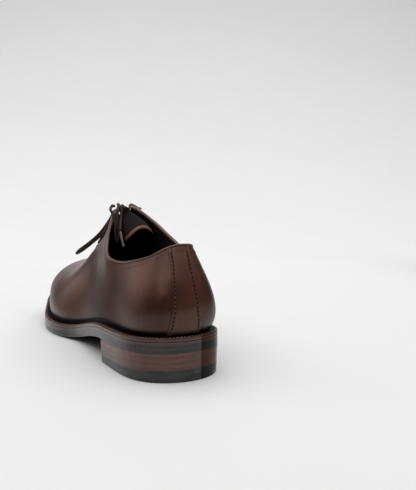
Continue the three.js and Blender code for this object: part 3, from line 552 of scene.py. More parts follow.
def crease_depth(p, u):
    x, y, z = (on_shoe(p)[..., k] for k in range(3))
    depth = np.zeros(x.shape)
    for cx, cy, direction, half_length, half_width, deep in UPPER_CREASES:
        depth += deep * trough(x - cx, y - cy, direction, half_length, half_width) * (z > 40)
    for cx, cz, direction, half_length, half_width, deep, side in QUARTER_HOLLOWS:
        depth += deep * trough(x - cx, z - cz, direction, half_length, half_width) * (side_of(u) == side)
    foot = np.clip((z - tread_height(p[..., 0]) - SOLE_STACK) / 9, 0, 1)
    return depth * foot


COLUMNS, LEVELS = 16 * ROUND, 46
places = np.arange(COLUMNS) / 16
edge = edge_level(places)
closed = edge > 1 - 1e-6
share = np.linspace(0, 1, LEVELS + 1)
share = share + 0.018 * np.sin(2 * np.pi * share)
u_grid, t_grid = np.meshgrid(places, share, indexing="ij")
t_grid = t_grid * edge[:, None]
skin = last_point(u_grid, t_grid)
skin[closed, -1, 1] = ridge_side(places[closed])
normals = last_normal(u_grid, t_grid)
flat_ridge = closed[:, None] & (t_grid > 0.9999)
normals[..., 1] = np.where(flat_ridge, 0, normals[..., 1])
normals /= np.linalg.norm(normals, axis=-1, keepdims=True)
outside = skin - normals * crease_depth(skin, u_grid)[..., None]
inside = skin - normals * WALL
inside[:, 0, 2] = skin[:, 0, 2]
wall_run = np.cumsum(np.linalg.norm(np.diff(skin, axis=1, prepend=skin[:, :1]), axis=2), axis=1)
coordinates = np.stack([u_grid, wall_run], -1).reshape(-1, 2)
size = COLUMNS * (LEVELS + 1)
faces, slots = [], []
for i in range(COLUMNS):
    j = (i + 1) % COLUMNS
    a, b = i * (LEVELS + 1), j * (LEVELS + 1)
    for k in range(LEVELS):
        faces += [(a + k, a + k + 1, b + k + 1, b + k), (size + a + k, size + b + k, size + b + k + 1, size + a + k + 1)]
        slots += [0, 1]
    faces.append((a, b, size + b, size + a))
    slots.append(1)
    if not (closed[i] and closed[j]):
        faces.append((a + LEVELS, size + a + LEVELS, size + b + LEVELS, b + LEVELS))
        slots.append(2)

# A soft round mask about a place of the shoe, in metres
n, given, out = effect("near_place", {"Place": None, "Reach": None}, {"Mask": 0.0})
place = n.add("ShaderNodeTexCoord").outputs["Object"]
away = n.add("ShaderNodeVectorMath", {0: place, 1: given["Place"]}, operation="SUBTRACT").outputs[0]
away = n.add("ShaderNodeVectorMath", {0: away, 1: given["Reach"]}, operation="DIVIDE").outputs[0]
away = n.add("ShaderNodeVectorMath", {0: away}, operation="LENGTH").outputs["Value"]
join(n, out, {"Mask": n.ramp(away, 1.0, 0.0)})

# Burnished calf. Its colour holds its own uneven tone plus painted light: painted highlights on the quarter, the vamp
# and the toe, and painted shade on the inner side of the heel and in the crevice over the welt.
calf, n, shader = new_material("burnished_calf")
tone = use(n, "clouds", {
    "Light": (0.082, 0.029, 0.0175, 1), "Dark": (0.026, 0.0092, 0.0065, 1), "Size": 17.0, "Stretch": 1.3, "Edge": 0.2})
patches = use(n, "clouds", {"Light": (1, 1, 1, 1), "Dark": (0, 0, 0, 1), "Size": 46.0, "Edge": 0.22})
place = n.add("ShaderNodeTexCoord").outputs["Object"]
height = n.add("ShaderNodeSeparateXYZ", {0: place}).outputs[2]
low_down = n.math("SUBTRACT", 1.0, n.ramp(height, 0.012, 0.06))
colour = n.mix(n.math("MULTIPLY", patches["Mask"], 0.35), tone["Color"], (0.1, 0.033, 0.02, 1))
colour = n.mix(n.math("MULTIPLY", low_down, 0.45), colour, (0.02, 0.0085, 0.007, 1))
mottle = use(n, "near_place", {"Place": (-0.031, 0.016, 0.059), "Reach": (0.024, 0.02, 0.024)})["Mask"]
colour = n.mix(n.math("MULTIPLY", mottle, 0.6), colour, (0.016, 0.0062, 0.005, 1))
# Painted highlight: a warm lighter patch high on the outer quarter
painted_highlight = use(n, "near_place", {"Place": (-0.006, 0.026, 0.074), "Reach": (0.042, 0.03, 0.026)})["Mask"]
colour = n.mix(n.math("MULTIPLY", painted_highlight, 0.65), colour, (0.17, 0.066, 0.046, 1))
# Painted highlight: a greyish lighter patch on the outer side of the vamp
painted_vamp_highlight = use(n, "near_place", {"Place": (0.152, 0.032, 0.05), "Reach": (0.055, 0.032, 0.02)})["Mask"]
colour = n.mix(n.math("MULTIPLY", painted_vamp_highlight, 0.6), colour, (0.17, 0.088, 0.07, 1))
shade = use(n, "near_place", {"Place": (-0.03, -0.035, 0.06), "Reach": (0.03, 0.036, 0.055)})["Mask"]
colour = n.mix(n.math("MULTIPLY", shade, 0.8), colour, (0.014, 0.0052, 0.004, 1))
rub = use(n, "near_place", {"Place": (-0.033, 0.0146, 0.0668), "Reach": (0.007, 0.005, 0.006)})["Mask"]
colour = n.mix(n.math("MULTIPLY", rub, 0.6), colour, (0.13, 0.035, 0.018, 1))
# Painted highlight: a lighter patch low on the outer side of the toe
painted_toe_highlight = use(n, "near_place", {"Place": (0.15, 0.044, 0.026), "Reach": (0.04, 0.02, 0.01)})["Mask"]
colour = n.mix(n.math("MULTIPLY", painted_toe_highlight, 0.6), colour, (0.12, 0.034, 0.017, 1))
up_wall = n.add("ShaderNodeSeparateXYZ", {0: n.add("ShaderNodeUVMap", uv_map="run").outputs[0]}).outputs[1]
# Painted shade: the lowest few millimetres of the upper, where it turns in over the welt, go near-black and matte
painted_crevice_shade = n.ramp(up_wall, 6.5, 3.0)
colour = n.mix(painted_crevice_shade, colour, (0.0035, 0.0018, 0.0015, 1))
waist = use(n, "near_place", {"Place": (0.045, 0.034, 0.046), "Reach": (0.11, 0.05, 0.055)})["Mask"]
dull = n.math("MAXIMUM", n.math("MAXIMUM", painted_crevice_shade, n.math("MULTIPLY", shade, 0.6)), n.math("MULTIPLY", waist, 0.95))
skin_bump = use(n, "skin", {"Size": 1500.0, "Depth": 0.16})
wire(n, shader, {
    "Base Color": colour,
    "Roughness": n.math("ADD", n.math("ADD", 0.27, n.math("MULTIPLY", tone["Mask"], 0.1)), n.math("MULTIPLY", dull, 0.25)),
    "Specular IOR Level": n.math("SUBTRACT", 0.5, n.math("MULTIPLY", dull, 0.45)),
    "Specular Tint": (1.0, 0.72, 0.63, 1),
    "Coat Weight": n.math("MULTIPLY", n.math("SUBTRACT", 1.0, dull), n.math("MULTIPLY", patches["Mask"], 0.25)),
    "Coat Roughness": 0.24,
    "Normal": skin_bump["Normal"],
})

lining_leather, n, shader = new_material("lining_leather")
tone = use(n, "clouds", {"Light": (0.02, 0.012, 0.01, 1), "Dark": (0.008, 0.005, 0.0045, 1), "Size": 60.0})
skin_bump = use(n, "skin", {"Size": 1100.0, "Depth": 0.25})
wire(n, shader, {
    "Base Color": tone["Color"],
    "Roughness": n.math("ADD", 0.7, n.math("MULTIPLY", tone["Mask"], 0.15)),
    "Specular IOR Level": 0.12,
    "Normal": skin_bump["Normal"],
})

cut_edge, n, shader = new_material("dyed_cut_edge")
tone = use(n, "clouds", {"Light": (0.16, 0.06, 0.038, 1), "Dark": (0.06, 0.024, 0.017, 1), "Size": 240.0})
fibres = n.add("ShaderNodeTexNoise", {"Scale": 2600.0, "Detail": 3.0}).outputs[0]
wire(n, shader, {
    "Base Color": tone["Color"],
    "Roughness": n.math("ADD", 0.45, n.math("MULTIPLY", tone["Mask"], 0.15)),
    "Normal": n.add("ShaderNodeBump", {"Strength": 0.4, "Distance": 0.0001, "Height": fibres}).outputs[0],
})

upper = add_mesh(
    "upper", on_shoe(np.vstack([outside.reshape(-1, 3), inside.reshape(-1, 3)])), faces,
    [calf, lining_leather, cut_edge], "calf", np.vstack([coordinates, coordinates]), slots, 50,
)
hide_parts("upper")

EYELET_COUNT, EYELET_SPACING, EYELET_EDGE, EYELET_FIRST, EYELET_WIDTH = 5, 9, 8.5, 6, 3
eyelet_places = [place_at(THROAT_TOP + EYELET_FIRST + k * EYELET_SPACING) for k in range(EYELET_COUNT)]


def over_facing(u, spread, side, lift):
    """Point above a facing, beside the throat's middle by a spread, and the leather's direction there."""
    place = np.array(u if side > 0 else ROUND - u)
    level = level_at_spread(place, spread)
    normal = last_normal(place, level, 0.97)
    return on_shoe(last_point(place, level) + normal * lift), normal


def facing_edge(u):
    return float(throat_opening(guides(u)[3, 0])) / 2


punches = []
for u in eyelet_places:
    for side in (-1, 1):
        middle, normal = over_facing(u, facing_edge(u) + EYELET_EDGE, side, -WALL / 2)
        line = [middle - normal * 3 * WALL, middle + normal * 3 * WALL]
        punches.append(tube(line, EYELET_WIDTH, 24, 0))
points, faces, run = put_together(punches)
punch = add_mesh("punch", points, faces, [cut_edge], "calf")
cut = upper.modifiers.new("punched", "BOOLEAN")
cut.operation, cut.object, cut.solver = "DIFFERENCE", punch, "EXACT"
depsgraph = bpy.context.evaluated_depsgraph_get()
punched = bpy.data.meshes.new_from_object(upper.evaluated_get(depsgraph))
upper.modifiers.clear()
upper.data = punched
bpy.data.objects.remove(punch)


# Bars of lace: the same cord comes up through each eyelet, lies flat over the facing and crosses the
# throat straight to the other side.
LACE_LIFT = LACE / 2 + JOIN_GAP
for k, u in enumerate(eyelet_places):
    half = []
    for side in (-1, 1):
        spread = facing_edge(u) + EYELET_EDGE
        hole, out = over_facing(u, spread, side, 0)
        near = [over_facing(u, facing_edge(u) + EYELET_EDGE * s, side, LACE_LIFT)[0] for s in (0.78, 0.5, 0.2)]
        half.append([hole - out * (WALL + 2.2), hole - out * 0.6, hole + out * 0.55, *near])
    line = smooth_line(half[0] + half[1][::-1], 6)
    points, faces, run = tube(line, LACE)
    bar = add_mesh(f"lace_bar_{k + 1}", points, faces, [waxed_cord], "lace", run)
    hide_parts(f"lace_bar_{k + 1}")

# A thin pressed ring lines each eyelet's mouth
rings = []
for u in eyelet_places:
    for side in (-1, 1):
        middle, out = over_facing(u, facing_edge(u) + EYELET_EDGE, side, 0.05)
        across = np.cross(out, [1, 0, 0.2])
        across /= np.linalg.norm(across)
        up = np.cross(out, across)
        turn = np.linspace(0, 2 * math.pi, 25)[:, None]
        circle = middle + (EYELET_WIDTH / 2 + 0.1) * (np.cos(turn) * across + np.sin(turn) * up)
        rings.append(tube(circle, 0.55, 8, 0))
ring_points, ring_faces, _ = put_together(rings)
eyelet_rings = add_mesh("eyelet_rings", ring_points, ring_faces, [cut_edge], "calf")


# Tongue: calf over lining, sewn in under the vamp, lying under the facings and curling free behind them
TONGUE_THICKNESS, TONGUE_ROOT, TONGUE_CLEAR, TONGUE_FLATTER = 2.4, 8, 0.4, 5
TONGUE_ROOT_WIDTH, TONGUE_WIDTH, TONGUE_END_WIDTH, TONGUE_PAST = 20, 24, 26, 26
TONGUE_SAG, TONGUE_ARCH, TONGUE_LEAN, TONGUE_TILT, TONGUE_CORNER, TONGUE_FACED = 12, 9, 4.6, 2.2, 6, 0.6


def faced_tongue_point(x, side):
    ridge = place_at(x)
    place = np.array(ridge if side >= 0 else ROUND - ridge)
    widening = (THROAT_FOOT + TONGUE_ROOT - x) / (THROAT_LENGTH + TONGUE_ROOT)
    spread = side * (TONGUE_ROOT_WIDTH + (TONGUE_WIDTH - TONGUE_ROOT_WIDTH) * widening) / 2
    level = level_at_spread(place, abs(spread))
    normal = last_normal(place, level, 0.97)
    normal[1] *= min(abs(spread) / 4, 1)
    point = last_point(place, level)
    point[1] = ridge_side(ridge) + spread
    depth = WALL + JOIN_GAP + TONGUE_CLEAR + TONGUE_FLATTER * (1 - side**2) ** 2
    return point - normal / np.linalg.norm(normal) * depth


def tongue_column(side, rows):
    """The tongue's line at one share of its width: along the facings first, then curling free."""
    facings = np.arange(rows + 1) / rows <= TONGUE_FACED
    start = THROAT_FOOT + TONGUE_ROOT
    line = [
        faced_tongue_point(start + (THROAT_TOP - start) * k / rows / TONGUE_FACED, side)
        for k in range(int(facings.sum()))
    ]
    root = faced_tongue_point(THROAT_TOP, side)
    leave = root - faced_tongue_point(THROAT_TOP + 1, side)
    leave /= np.linalg.norm(leave)
    end = faced_tongue_point(THROAT_TOP, 0) + [
        TONGUE_CORNER * side**4 - TONGUE_PAST,
        side * TONGUE_END_WIDTH / 2 - TONGUE_LEAN,
        -TONGUE_SAG - TONGUE_ARCH * side**2 - TONGUE_TILT * side,
    ]
    for back in np.arange(len(line), rows + 1) / rows:
        k = (back - TONGUE_FACED) / (1 - TONGUE_FACED)
        j = 1 - k
        line.append(
            root * (1 + 2 * k) * j**2 + leave * TONGUE_PAST / 2 * k * j**2
            + end * k**2 * (3 - 2 * k) + np.array([1, 0, 0.8]) * TONGUE_PAST * j * k**2
        )
    return line


rolled_edge, n, shader = new_material("rolled_edge")
tone = use(n, "clouds", {"Light": (0.2, 0.07, 0.042, 1), "Dark": (0.11, 0.04, 0.026, 1), "Size": 110.0})
skin_bump = use(n, "skin", {"Size": 1500.0, "Depth": 0.2})
wire(n, shader, {
    "Base Color": tone["Color"],
    "Roughness": n.math("ADD", 0.42, n.math("MULTIPLY", tone["Mask"], 0.12)),
    "Normal": skin_bump["Normal"],
})

ROWS, ACROSS = 64, 30
sheet = np.array([tongue_column(2 * k / ACROSS - 1, ROWS) for k in range(ACROSS + 1)]).transpose(1, 0, 2)
run_back, run_over = np.gradient(sheet, axis=0), np.gradient(sheet, axis=1)
down = np.cross(run_back, run_over)
down /= np.linalg.norm(down, axis=-1, keepdims=True)
i, j = np.meshgrid(np.arange(ROWS + 1), np.arange(ACROSS + 1), indexing="ij")
rim = np.minimum(np.minimum(j, ACROSS - j) / 1.4, (ROWS - i) / 2.4)
pinch = np.where(rim < 1, 0.35 * (1 - np.clip(rim, 0, 1)) ** 2, 0)[..., None] * TONGUE_THICKNESS
sheet = on_shoe(sheet)
layers = np.stack([sheet + down * pinch, sheet + down * (TONGUE_THICKNESS - pinch)])
count = (ROWS + 1) * (ACROSS + 1)
at = lambda layer, row, column: layer * count + row * (ACROSS + 1) + column
faces, slots = [], []
for r in range(ROWS):
    for c in range(ACROSS):
        faces += [(at(0, r, c), at(0, r, c + 1), at(0, r + 1, c + 1), at(0, r + 1, c)),
                  (at(1, r, c), at(1, r + 1, c), at(1, r + 1, c + 1), at(1, r, c + 1))]
        slots += [0, 1]
for r in range(ROWS):
    faces += [(at(0, r, c), at(1, r, c), at(1, r + 1, c), at(0, r + 1, c)) for c in (0, ACROSS)]
    slots += [2, 2]
for c in range(ACROSS):
    faces += [(at(0, r, c), at(1, r, c), at(1, r, c + 1), at(0, r, c + 1)) for r in (0, ROWS)]
    slots += [2, 2]
for r in range(ROWS - 2, ROWS):
    for k in range(2 * ACROSS):
        slots[r * 2 * ACROSS + k] = 2
tongue = add_mesh(
    "tongue", layers.reshape(-1, 3), faces, [lining_leather, lining_leather, rolled_edge], "lining", face_slots=slots, sharp=60)
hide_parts("tongue")


def stitch_row(name, places, ups, pitch, length, width, thread, slot, sink=0.0, start=1.0):
    """A row of thread stitches along a line of points, each a small rounded stroke, as one piece."""
    places, ups = np.asarray(places), np.asarray(ups)
    run = np.concatenate([[0], np.cumsum(np.linalg.norm(np.diff(places, axis=0), axis=1))])
    starts = np.arange(start, run[-1] - length, pitch)
    sample = lambda s, table: np.array([np.interp(s, run, table[:, k]) for k in range(3)])
    parts = []
    for s in starts:
        a, b = sample(s, places), sample(s + length, places)
        up = sample(s, ups)
        up /= np.linalg.norm(up)
        ahead = (b - a) / np.linalg.norm(b - a)
        over = np.cross(up, ahead)
        points, faces = [], []
        for share, fat in ((0.0, 0.45), (0.12, 0.8), (0.3, 1.0), (0.7, 1.0), (0.88, 0.8), (1.0, 0.45)):
            middle = a + (b - a) * share + up * (width * 0.32 * math.sin(math.pi * share) - sink)
            for turn in np.arange(6) * math.pi / 3:
                points.append(middle + fat * width / 2 * (math.cos(turn) * over + math.sin(turn) * up))
        for r in range(5):
            for c in range(6):
                faces.append((r * 6 + c, r * 6 + (c + 1) % 6, r * 6 + 6 + (c + 1) % 6, r * 6 + 6 + c))
        faces += [(0, 1, 2, 3, 4, 5), (30, 31, 32, 33, 34, 35)]
        parts.append((points, faces, []))
    points, faces, _ = put_together(parts)
    return add_mesh(name, points, faces, [thread], slot)


def thread_material(name, light, dark):
    material, n, shader = new_material(name)
    tone = use(n, "clouds", {"Light": light, "Dark": dark, "Size": 420.0})
    twist = n.add("ShaderNodeTexWave", {"Scale": 900.0, "Distortion": 2.0}).outputs[1]
    wire(n, shader, {
        "Base Color": tone["Color"],
        "Roughness": n.math("ADD", 0.65, n.math("MULTIPLY", tone["Mask"], 0.2)),
        "Specular IOR Level": 0.15,
        "Normal": n.add("ShaderNodeBump", {"Strength": 0.5, "Distance": 0.0001, "Height": twist}).outputs[0],
    })
    return material


# Collar binding: a narrow strip of calf rolled over the cut edge of the collar, with a row of small
# stitches just under it that goes on down both facings and round the foot of the throat.
BINDING_HEIGHT, BINDING_PROUD = 2, 0.35
steps = np.linspace(-7.2, 7.2, 900)
steps = steps[on_shoe(last_point(steps, edge_level(steps)))[:, 0] < THROAT_TOP - HEEL_LENGTH / 2 + CORNER_ROUND / 3]
level = edge_level(steps)
line = last_point(steps, level)
out = last_normal(steps, level)
ahead = np.gradient(line, axis=0)
ahead /= np.linalg.norm(ahead, axis=1)[:, None]
over = np.cross(ahead, out)
over /= np.linalg.norm(over, axis=1)[:, None]
over *= np.sign((over * [0, 0, 1]).sum(1))[:, None]
middle = line - out * WALL / 2 + over * (JOIN_GAP + BINDING_HEIGHT / 2)
SIDES = 16
points = []
for k in range(len(steps)):
    drawn_in = min(1, 0.45 + min(k, len(steps) - 1 - k) / 6)
    for turn in (np.arange(SIDES) + 0.5) / SIDES * 2 * math.pi:
        wide = (WALL / 2 + BINDING_PROUD) * np.sign(math.cos(turn)) * abs(math.cos(turn)) ** 0.8
        high = BINDING_HEIGHT / 2 * np.sign(math.sin(turn)) * abs(math.sin(turn)) ** 0.9
        points.append(middle[k] + drawn_in * (out[k] * wide + over[k] * high))
faces = [
    (k * SIDES + s, k * SIDES + (s + 1) % SIDES, (k + 1) * SIDES + (s + 1) % SIDES, (k + 1) * SIDES + s)
    for k in range(len(steps) - 1) for s in range(SIDES)
]
faces += [tuple(range(SIDES)), tuple(range((len(steps) - 1) * SIDES, len(steps) * SIDES))]

binding_calf, n, shader = new_material("rolled_binding")
tone = use(n, "clouds", {"Light": (0.15, 0.056, 0.036, 1), "Dark": (0.07, 0.027, 0.019, 1), "Size": 70.0})
skin_bump = use(n, "skin", {"Size": 1700.0, "Depth": 0.2})
wire(n, shader, {
    "Base Color": tone["Color"],
    "Roughness": n.math("ADD", 0.36, n.math("MULTIPLY", tone["Mask"], 0.12)),
    "Coat Weight": 0.15,
    "Normal": skin_bump["Normal"],
})
binding = add_mesh("collar_binding", on_shoe(points), faces, [binding_calf], "collar_edge")
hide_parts("collar_binding")

brown_thread = thread_material("brown_thread", (0.17, 0.09, 0.06, 1), (0.1, 0.05, 0.034, 1))
# Painted shade: near-black strokes between the strip's stitches stand for the shaded needle holes
needle_hole_shade = thread_material("needle_hole_shade", (0.006, 0.003, 0.0025, 1), (0.003, 0.0018, 0.0015, 1))
STITCH_INSIDE = 3.4
row = np.linspace(-9.6, 9.6, 1400)
level = edge_level(row, STITCH_INSIDE)
open_part = level < 0.9999
row, level = row[open_part], level[open_part]
stitch_row(
    "collar_stitches", on_shoe(last_point(row, level)), last_normal(row, level), 2.3, 1.5, 0.55, brown_thread,
    "calf", 0.12)


# Back strip: a strap of calf over the seam up the heel, wider at its foot, skived at its edges and sewn
# down by a row of stitches inside each edge and one under the collar.
STRIP_THICKNESS, STRIP_TOP_WIDTH, STRIP_FOOT_WIDTH = 0.9, 16, 26
ROWS, ACROSS = 90, 44


def strip_place(rise, across, lift):
    half = (STRIP_FOOT_WIDTH + (STRIP_TOP_WIDTH - STRIP_FOOT_WIDTH) * np.minimum(1, rise * 1.25)) / 2
    centre = edge_level(0.0) * rise
    step = np.linalg.norm(last_point(0.1 + 0 * rise, centre) - last_point(-0.1 + 0 * rise, centre), axis=-1) / 0.2
    u = across * half / step
    t = edge_level(u) * (0.012 + 0.988 * rise)
    normal = last_normal(u, t)
    return last_point(u, t) + normal * lift[..., None], normal, half


rise, across = np.meshgrid(np.arange(ROWS + 1) / ROWS, 2 * np.arange(ACROSS + 1) / ACROSS - 1, indexing="ij")
half = (STRIP_FOOT_WIDTH + (STRIP_TOP_WIDTH - STRIP_FOOT_WIDTH) * np.minimum(1, rise * 1.25)) / 2
from_edge = half * (1 - np.abs(across))
skive = np.clip(from_edge / 0.7, 0, 1) ** 0.5
seam_dip = 0.4 * np.exp(-(((from_edge - 2.2) / 0.6) ** 2))
lift = JOIN_GAP + STRIP_THICKNESS * (0.25 + 0.75 * skive) - seam_dip
top = strip_place(rise, across, lift)[0]
foot = strip_place(rise, across, np.full(rise.shape, 0.12))[0]
count = (ROWS + 1) * (ACROSS + 1)
faces = []
for r in range(ROWS):
    for c in range(ACROSS):
        a = r * (ACROSS + 1) + c
        faces += [(a, a + 1, a + ACROSS + 2, a + ACROSS + 1),
                  (count + a, count + a + ACROSS + 1, count + a + ACROSS + 2, count + a + 1)]
for r in range(ROWS):
    faces += [(r * (ACROSS + 1) + c, (r + 1) * (ACROSS + 1) + c, count + (r + 1) * (ACROSS + 1) + c,
               count + r * (ACROSS + 1) + c) for c in (0, ACROSS)]
for c in range(ACROSS):
    faces += [(r * (ACROSS + 1) + c, r * (ACROSS + 1) + c + 1, count + r * (ACROSS + 1) + c + 1,
               count + r * (ACROSS + 1) + c) for r in (0, ROWS)]
up_strip = np.tile(np.stack([across, 2 + 70 * rise], -1).reshape(-1, 2), (2, 1))
strip = add_mesh(
    "back_strip", on_shoe(np.vstack([top.reshape(-1, 3), foot.reshape(-1, 3)])), faces, [calf], "calf", up_strip)
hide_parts("back_strip")
for name, side in (("strip_stitches_outer", 1), ("strip_stitches_inner", -1)):
    rise = np.linspace(0.02, 0.95, 160)
    half = (STRIP_FOOT_WIDTH + (STRIP_TOP_WIDTH - STRIP_FOOT_WIDTH) * np.minimum(1, rise * 1.25)) / 2
    place, normal, _ = strip_place(rise, side * (1 - 2.2 / half), np.full(rise.shape, JOIN_GAP + STRIP_THICKNESS - 0.2))
    stitch_row(name, on_shoe(place), normal, 3.1, 1.5, 0.8, brown_thread, "calf", -0.05)
    stitch_row(f"{name}_holes", on_shoe(place), normal, 3.1, 1.1, 1.0, needle_hole_shade, "calf", 0.1, 2.75)
across = np.linspace(-0.8, 0.8, 60)
place, normal, _ = strip_place(np.full(60, 0.955), across, np.full(60, JOIN_GAP + STRIP_THICKNESS))
stitch_row("strip_stitches_top", on_shoe(place), normal, 2.8, 1.6, 0.75, brown_thread, "calf", 0.05)


# Sole pieces share one outline: the upper's feather line, moved out or in by a distance of its own
BREAST_RADIUS, BREAST_HOLLOW, HEEL_TAPER = 170, 2.5, 1
SOLE_PLACES = np.arange(-28 * TOE, 28 * TOE + 1) / 28
WELT_INSIDE = WALL + 1.4
CLOSE = 0.15  # the layers are cemented, so they are drawn a little nearer to each other than in the CAD


def feather_offset(u, distance):
    along = guides(u + 0.01)[..., 0, :2] - guides(u - 0.01)[..., 0, :2]
    along /= np.linalg.norm(along, axis=-1, keepdims=True)
    place = guides(u)[..., 0, :2]
    return np.stack([place[..., 0] - along[..., 1] * distance, place[..., 1] + along[..., 0] * distance], -1)


def midsole_foot(x):
    return tread_height(x) + OUTSOLE + JOIN_GAP


def welt_foot(x):
    return midsole_foot(x) + MIDSOLE + JOIN_GAP


def rim(distance, share, low, high, rise=0.0):
    flat = feather_offset(SOLE_PLACES, distance)
    foot, top = low(flat[:, 0]), high(flat[:, 0])
    return np.column_stack([flat, foot + (top - foot) * share + rise])


def rims_to_faces(count, rows, closed=False):
    faces = []
    for r in range(rows if closed else rows - 1):
        a, b = r * count, (r + 1) % rows * count
        faces += [(a + k, b + k, b + k + 1, a + k + 1) for k in range(count - 1)]
    return faces


def edge_run(rims):
    """Coordinates for each rim: how far round the outline, and how far over the profile, in millimetres."""
    steps = np.linalg.norm(np.diff(rims[0], axis=0), axis=1)
    run = np.concatenate([[0], np.cumsum(steps)])
    over, coordinates = 0.0, []
    for k, row in enumerate(rims):
        over += np.linalg.norm(row - rims[k - 1], axis=1).mean() if k else 0
        coordinates += [(r, over) for r in run]
    return coordinates


def sole_plate(name, low, high, distance, profile, materials, slot, bevel_ahead=False):
    """A full-length layer: rims up its edge, closed by rungs over its foot and its top."""
    bevelled = np.clip((guides(SOLE_PLACES)[:, 0, 0] - HEEL_LENGTH + 8) / 12, 0, 1) if bevel_ahead else 1
    rims = [rim(distance - inset * bevelled, share, low, high, rise) for inset, share, rise in profile]
    count = len(SOLE_PLACES)
    faces = rims_to_faces(count, len(rims))
    top = (len(rims) - 1) * count
    for k in range(count // 2):
        far = count - 1 - k
        faces += [(k, k + 1, far - 1, far), (top + k, top + far, top + far - 1, top + k + 1)]
    faces = [tuple(dict.fromkeys(face)) for face in faces]
    faces = [face for face in faces if len(face) > 2]
    plate = add_mesh(name, on_shoe(np.vstack(rims)), faces, materials, slot, edge_run(rims), sharp=55)
    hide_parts(name)
    return plate


# Edges of the layers after trimming and burnishing: fine lines along the edge, darker and lighter streaks.
# On the inner side the edge gets painted shade, its light streaks pushed to the dark tone, and is duller.
n, given, out = effect(
    "burnished_edge",
    {"Light": (0.2, 0.1, 0.06, 1), "Dark": (0.05, 0.02, 0.015, 1), "Lines": 2.2, "Length": 0.02},
    {"Color": (0, 0, 0, 1), "Height": 0.0, "Streak": 0.0, "Shaded_side": 0.0},
)
split = n.add("ShaderNodeSeparateXYZ", {0: n.add("ShaderNodeUVMap", uv_map="run").outputs[0]}).outputs
along = n.math("MULTIPLY", split[0], given["Length"])
place = n.add("ShaderNodeCombineXYZ", {0: along, 1: n.math("MULTIPLY", split[1], given["Lines"])}).outputs[0]
streak = n.add("ShaderNodeTexNoise", {"Vector": place, "Scale": 1.0, "Detail": 5.0, "Roughness": 0.6}).outputs[0]
rub = n.add("ShaderNodeCombineXYZ", {0: n.math("MULTIPLY", split[0], 0.05), 1: n.math("MULTIPLY", split[1], 0.12)})
rubbed = n.add("ShaderNodeTexNoise", {"Vector": rub.outputs[0], "Scale": 1.0, "Detail": 3.0}).outputs[0]
mask = n.ramp(n.math("ADD", n.math("MULTIPLY", streak, 0.65), n.math("MULTIPLY", rubbed, 0.35)), 0.36, 0.66)
# Painted shade on the inner side: the streak mask fades there, so the edge takes the dark tone
inner_side = n.add("ShaderNodeSeparateXYZ", {0: n.add("ShaderNodeTexCoord").outputs["Object"]}).outputs[1]
dull = n.ramp(inner_side, -0.0115, -0.0135)
mask = n.math("MULTIPLY", mask, n.math("SUBTRACT", 1.0, dull))
join(n, out, {"Color": n.mix(mask, given["Dark"], given["Light"]), "Height": streak, "Streak": mask, "Shaded_side": dull})


# Insole: the leather board the upper is lasted on, inside the ring of the welt and under the foot
insole_leather, n, shader = new_material("insole_leather")
tone = use(n, "clouds", {"Light": (0.045, 0.026, 0.019, 1), "Dark": (0.018, 0.011, 0.009, 1), "Size": 40.0})
skin_bump = use(n, "skin", {"Size": 900.0, "Depth": 0.3})
wire(n, shader, {
    "Base Color": tone["Color"],
    "Roughness": n.math("ADD", 0.55, n.math("MULTIPLY", tone["Mask"], 0.2)),
    "Normal": skin_bump["Normal"],
})
sole_plate(
    "insole", lambda x: welt_foot(x), lambda x: welt_foot(x) + WELT + 2.6, -WELT_INSIDE - JOIN_GAP,
    [(0.3, 0, 0), (0, 0.08, 0), (0, 0.9, 0), (0.4, 1, 0)], [insole_leather], "lining")


# Welt: a leather strip sewn round the whole shoe, its top grooved and painted near-black as shade, with one stitch in
# every mark of the fudge wheel, whose marks are darkened with painted shade, and its edge dyed and polished with the
# sole's.
WELT_PROFILE = [  # distance out from the welt's edge, height share
    (-0.45, 0.0), (-0.12, 0.06), (0, 0.25), (0, 0.7), (-0.1, 0.87), (-0.35, 0.97), (-0.7, 1.0), (-1.1, 0.985),
    (-1.45, 0.93), (-1.9, 0.9), (-2.35, 0.93), (-2.7, 0.985), (-3.2, 1.0), (-4.6, 1.0),
]
rims = []
for out_by, share in WELT_PROFILE:
    rims.append(rim(WELT_WIDTH + out_by, share, lambda x: welt_foot(x) - CLOSE, lambda x: welt_foot(x) + WELT))
rims.append(rim(-WELT_INSIDE, 0.98, welt_foot, lambda x: welt_foot(x) + WELT))
rims.append(rim(-WELT_INSIDE, 0.0, welt_foot, lambda x: welt_foot(x) + WELT))
coordinates = edge_run(rims)
run_length = coordinates[len(SOLE_PLACES) - 1][0]

welt_leather, n, shader = new_material("welt_leather")
edge = use(n, "burnished_edge", {
    "Light": (0.085, 0.038, 0.028, 1), "Dark": (0.045, 0.021, 0.016, 1), "Lines": 1.2, "Length": 0.03})
split = n.add("ShaderNodeSeparateXYZ", {0: n.add("ShaderNodeUVMap", uv_map="run").outputs[0]}).outputs
wheel = n.math("SINE", n.math("MULTIPLY", split[0], 2 * math.pi / 1.45))
on_top = n.math("MULTIPLY", n.ramp(split[1], 3.0, 3.2), n.ramp(split[1], 6.6, 6.2))
marks = n.math("MULTIPLY", n.ramp(wheel, 0.1, 0.8), on_top)
height = n.math("SUBTRACT", n.math("MULTIPLY", edge["Height"], 0.25), marks)
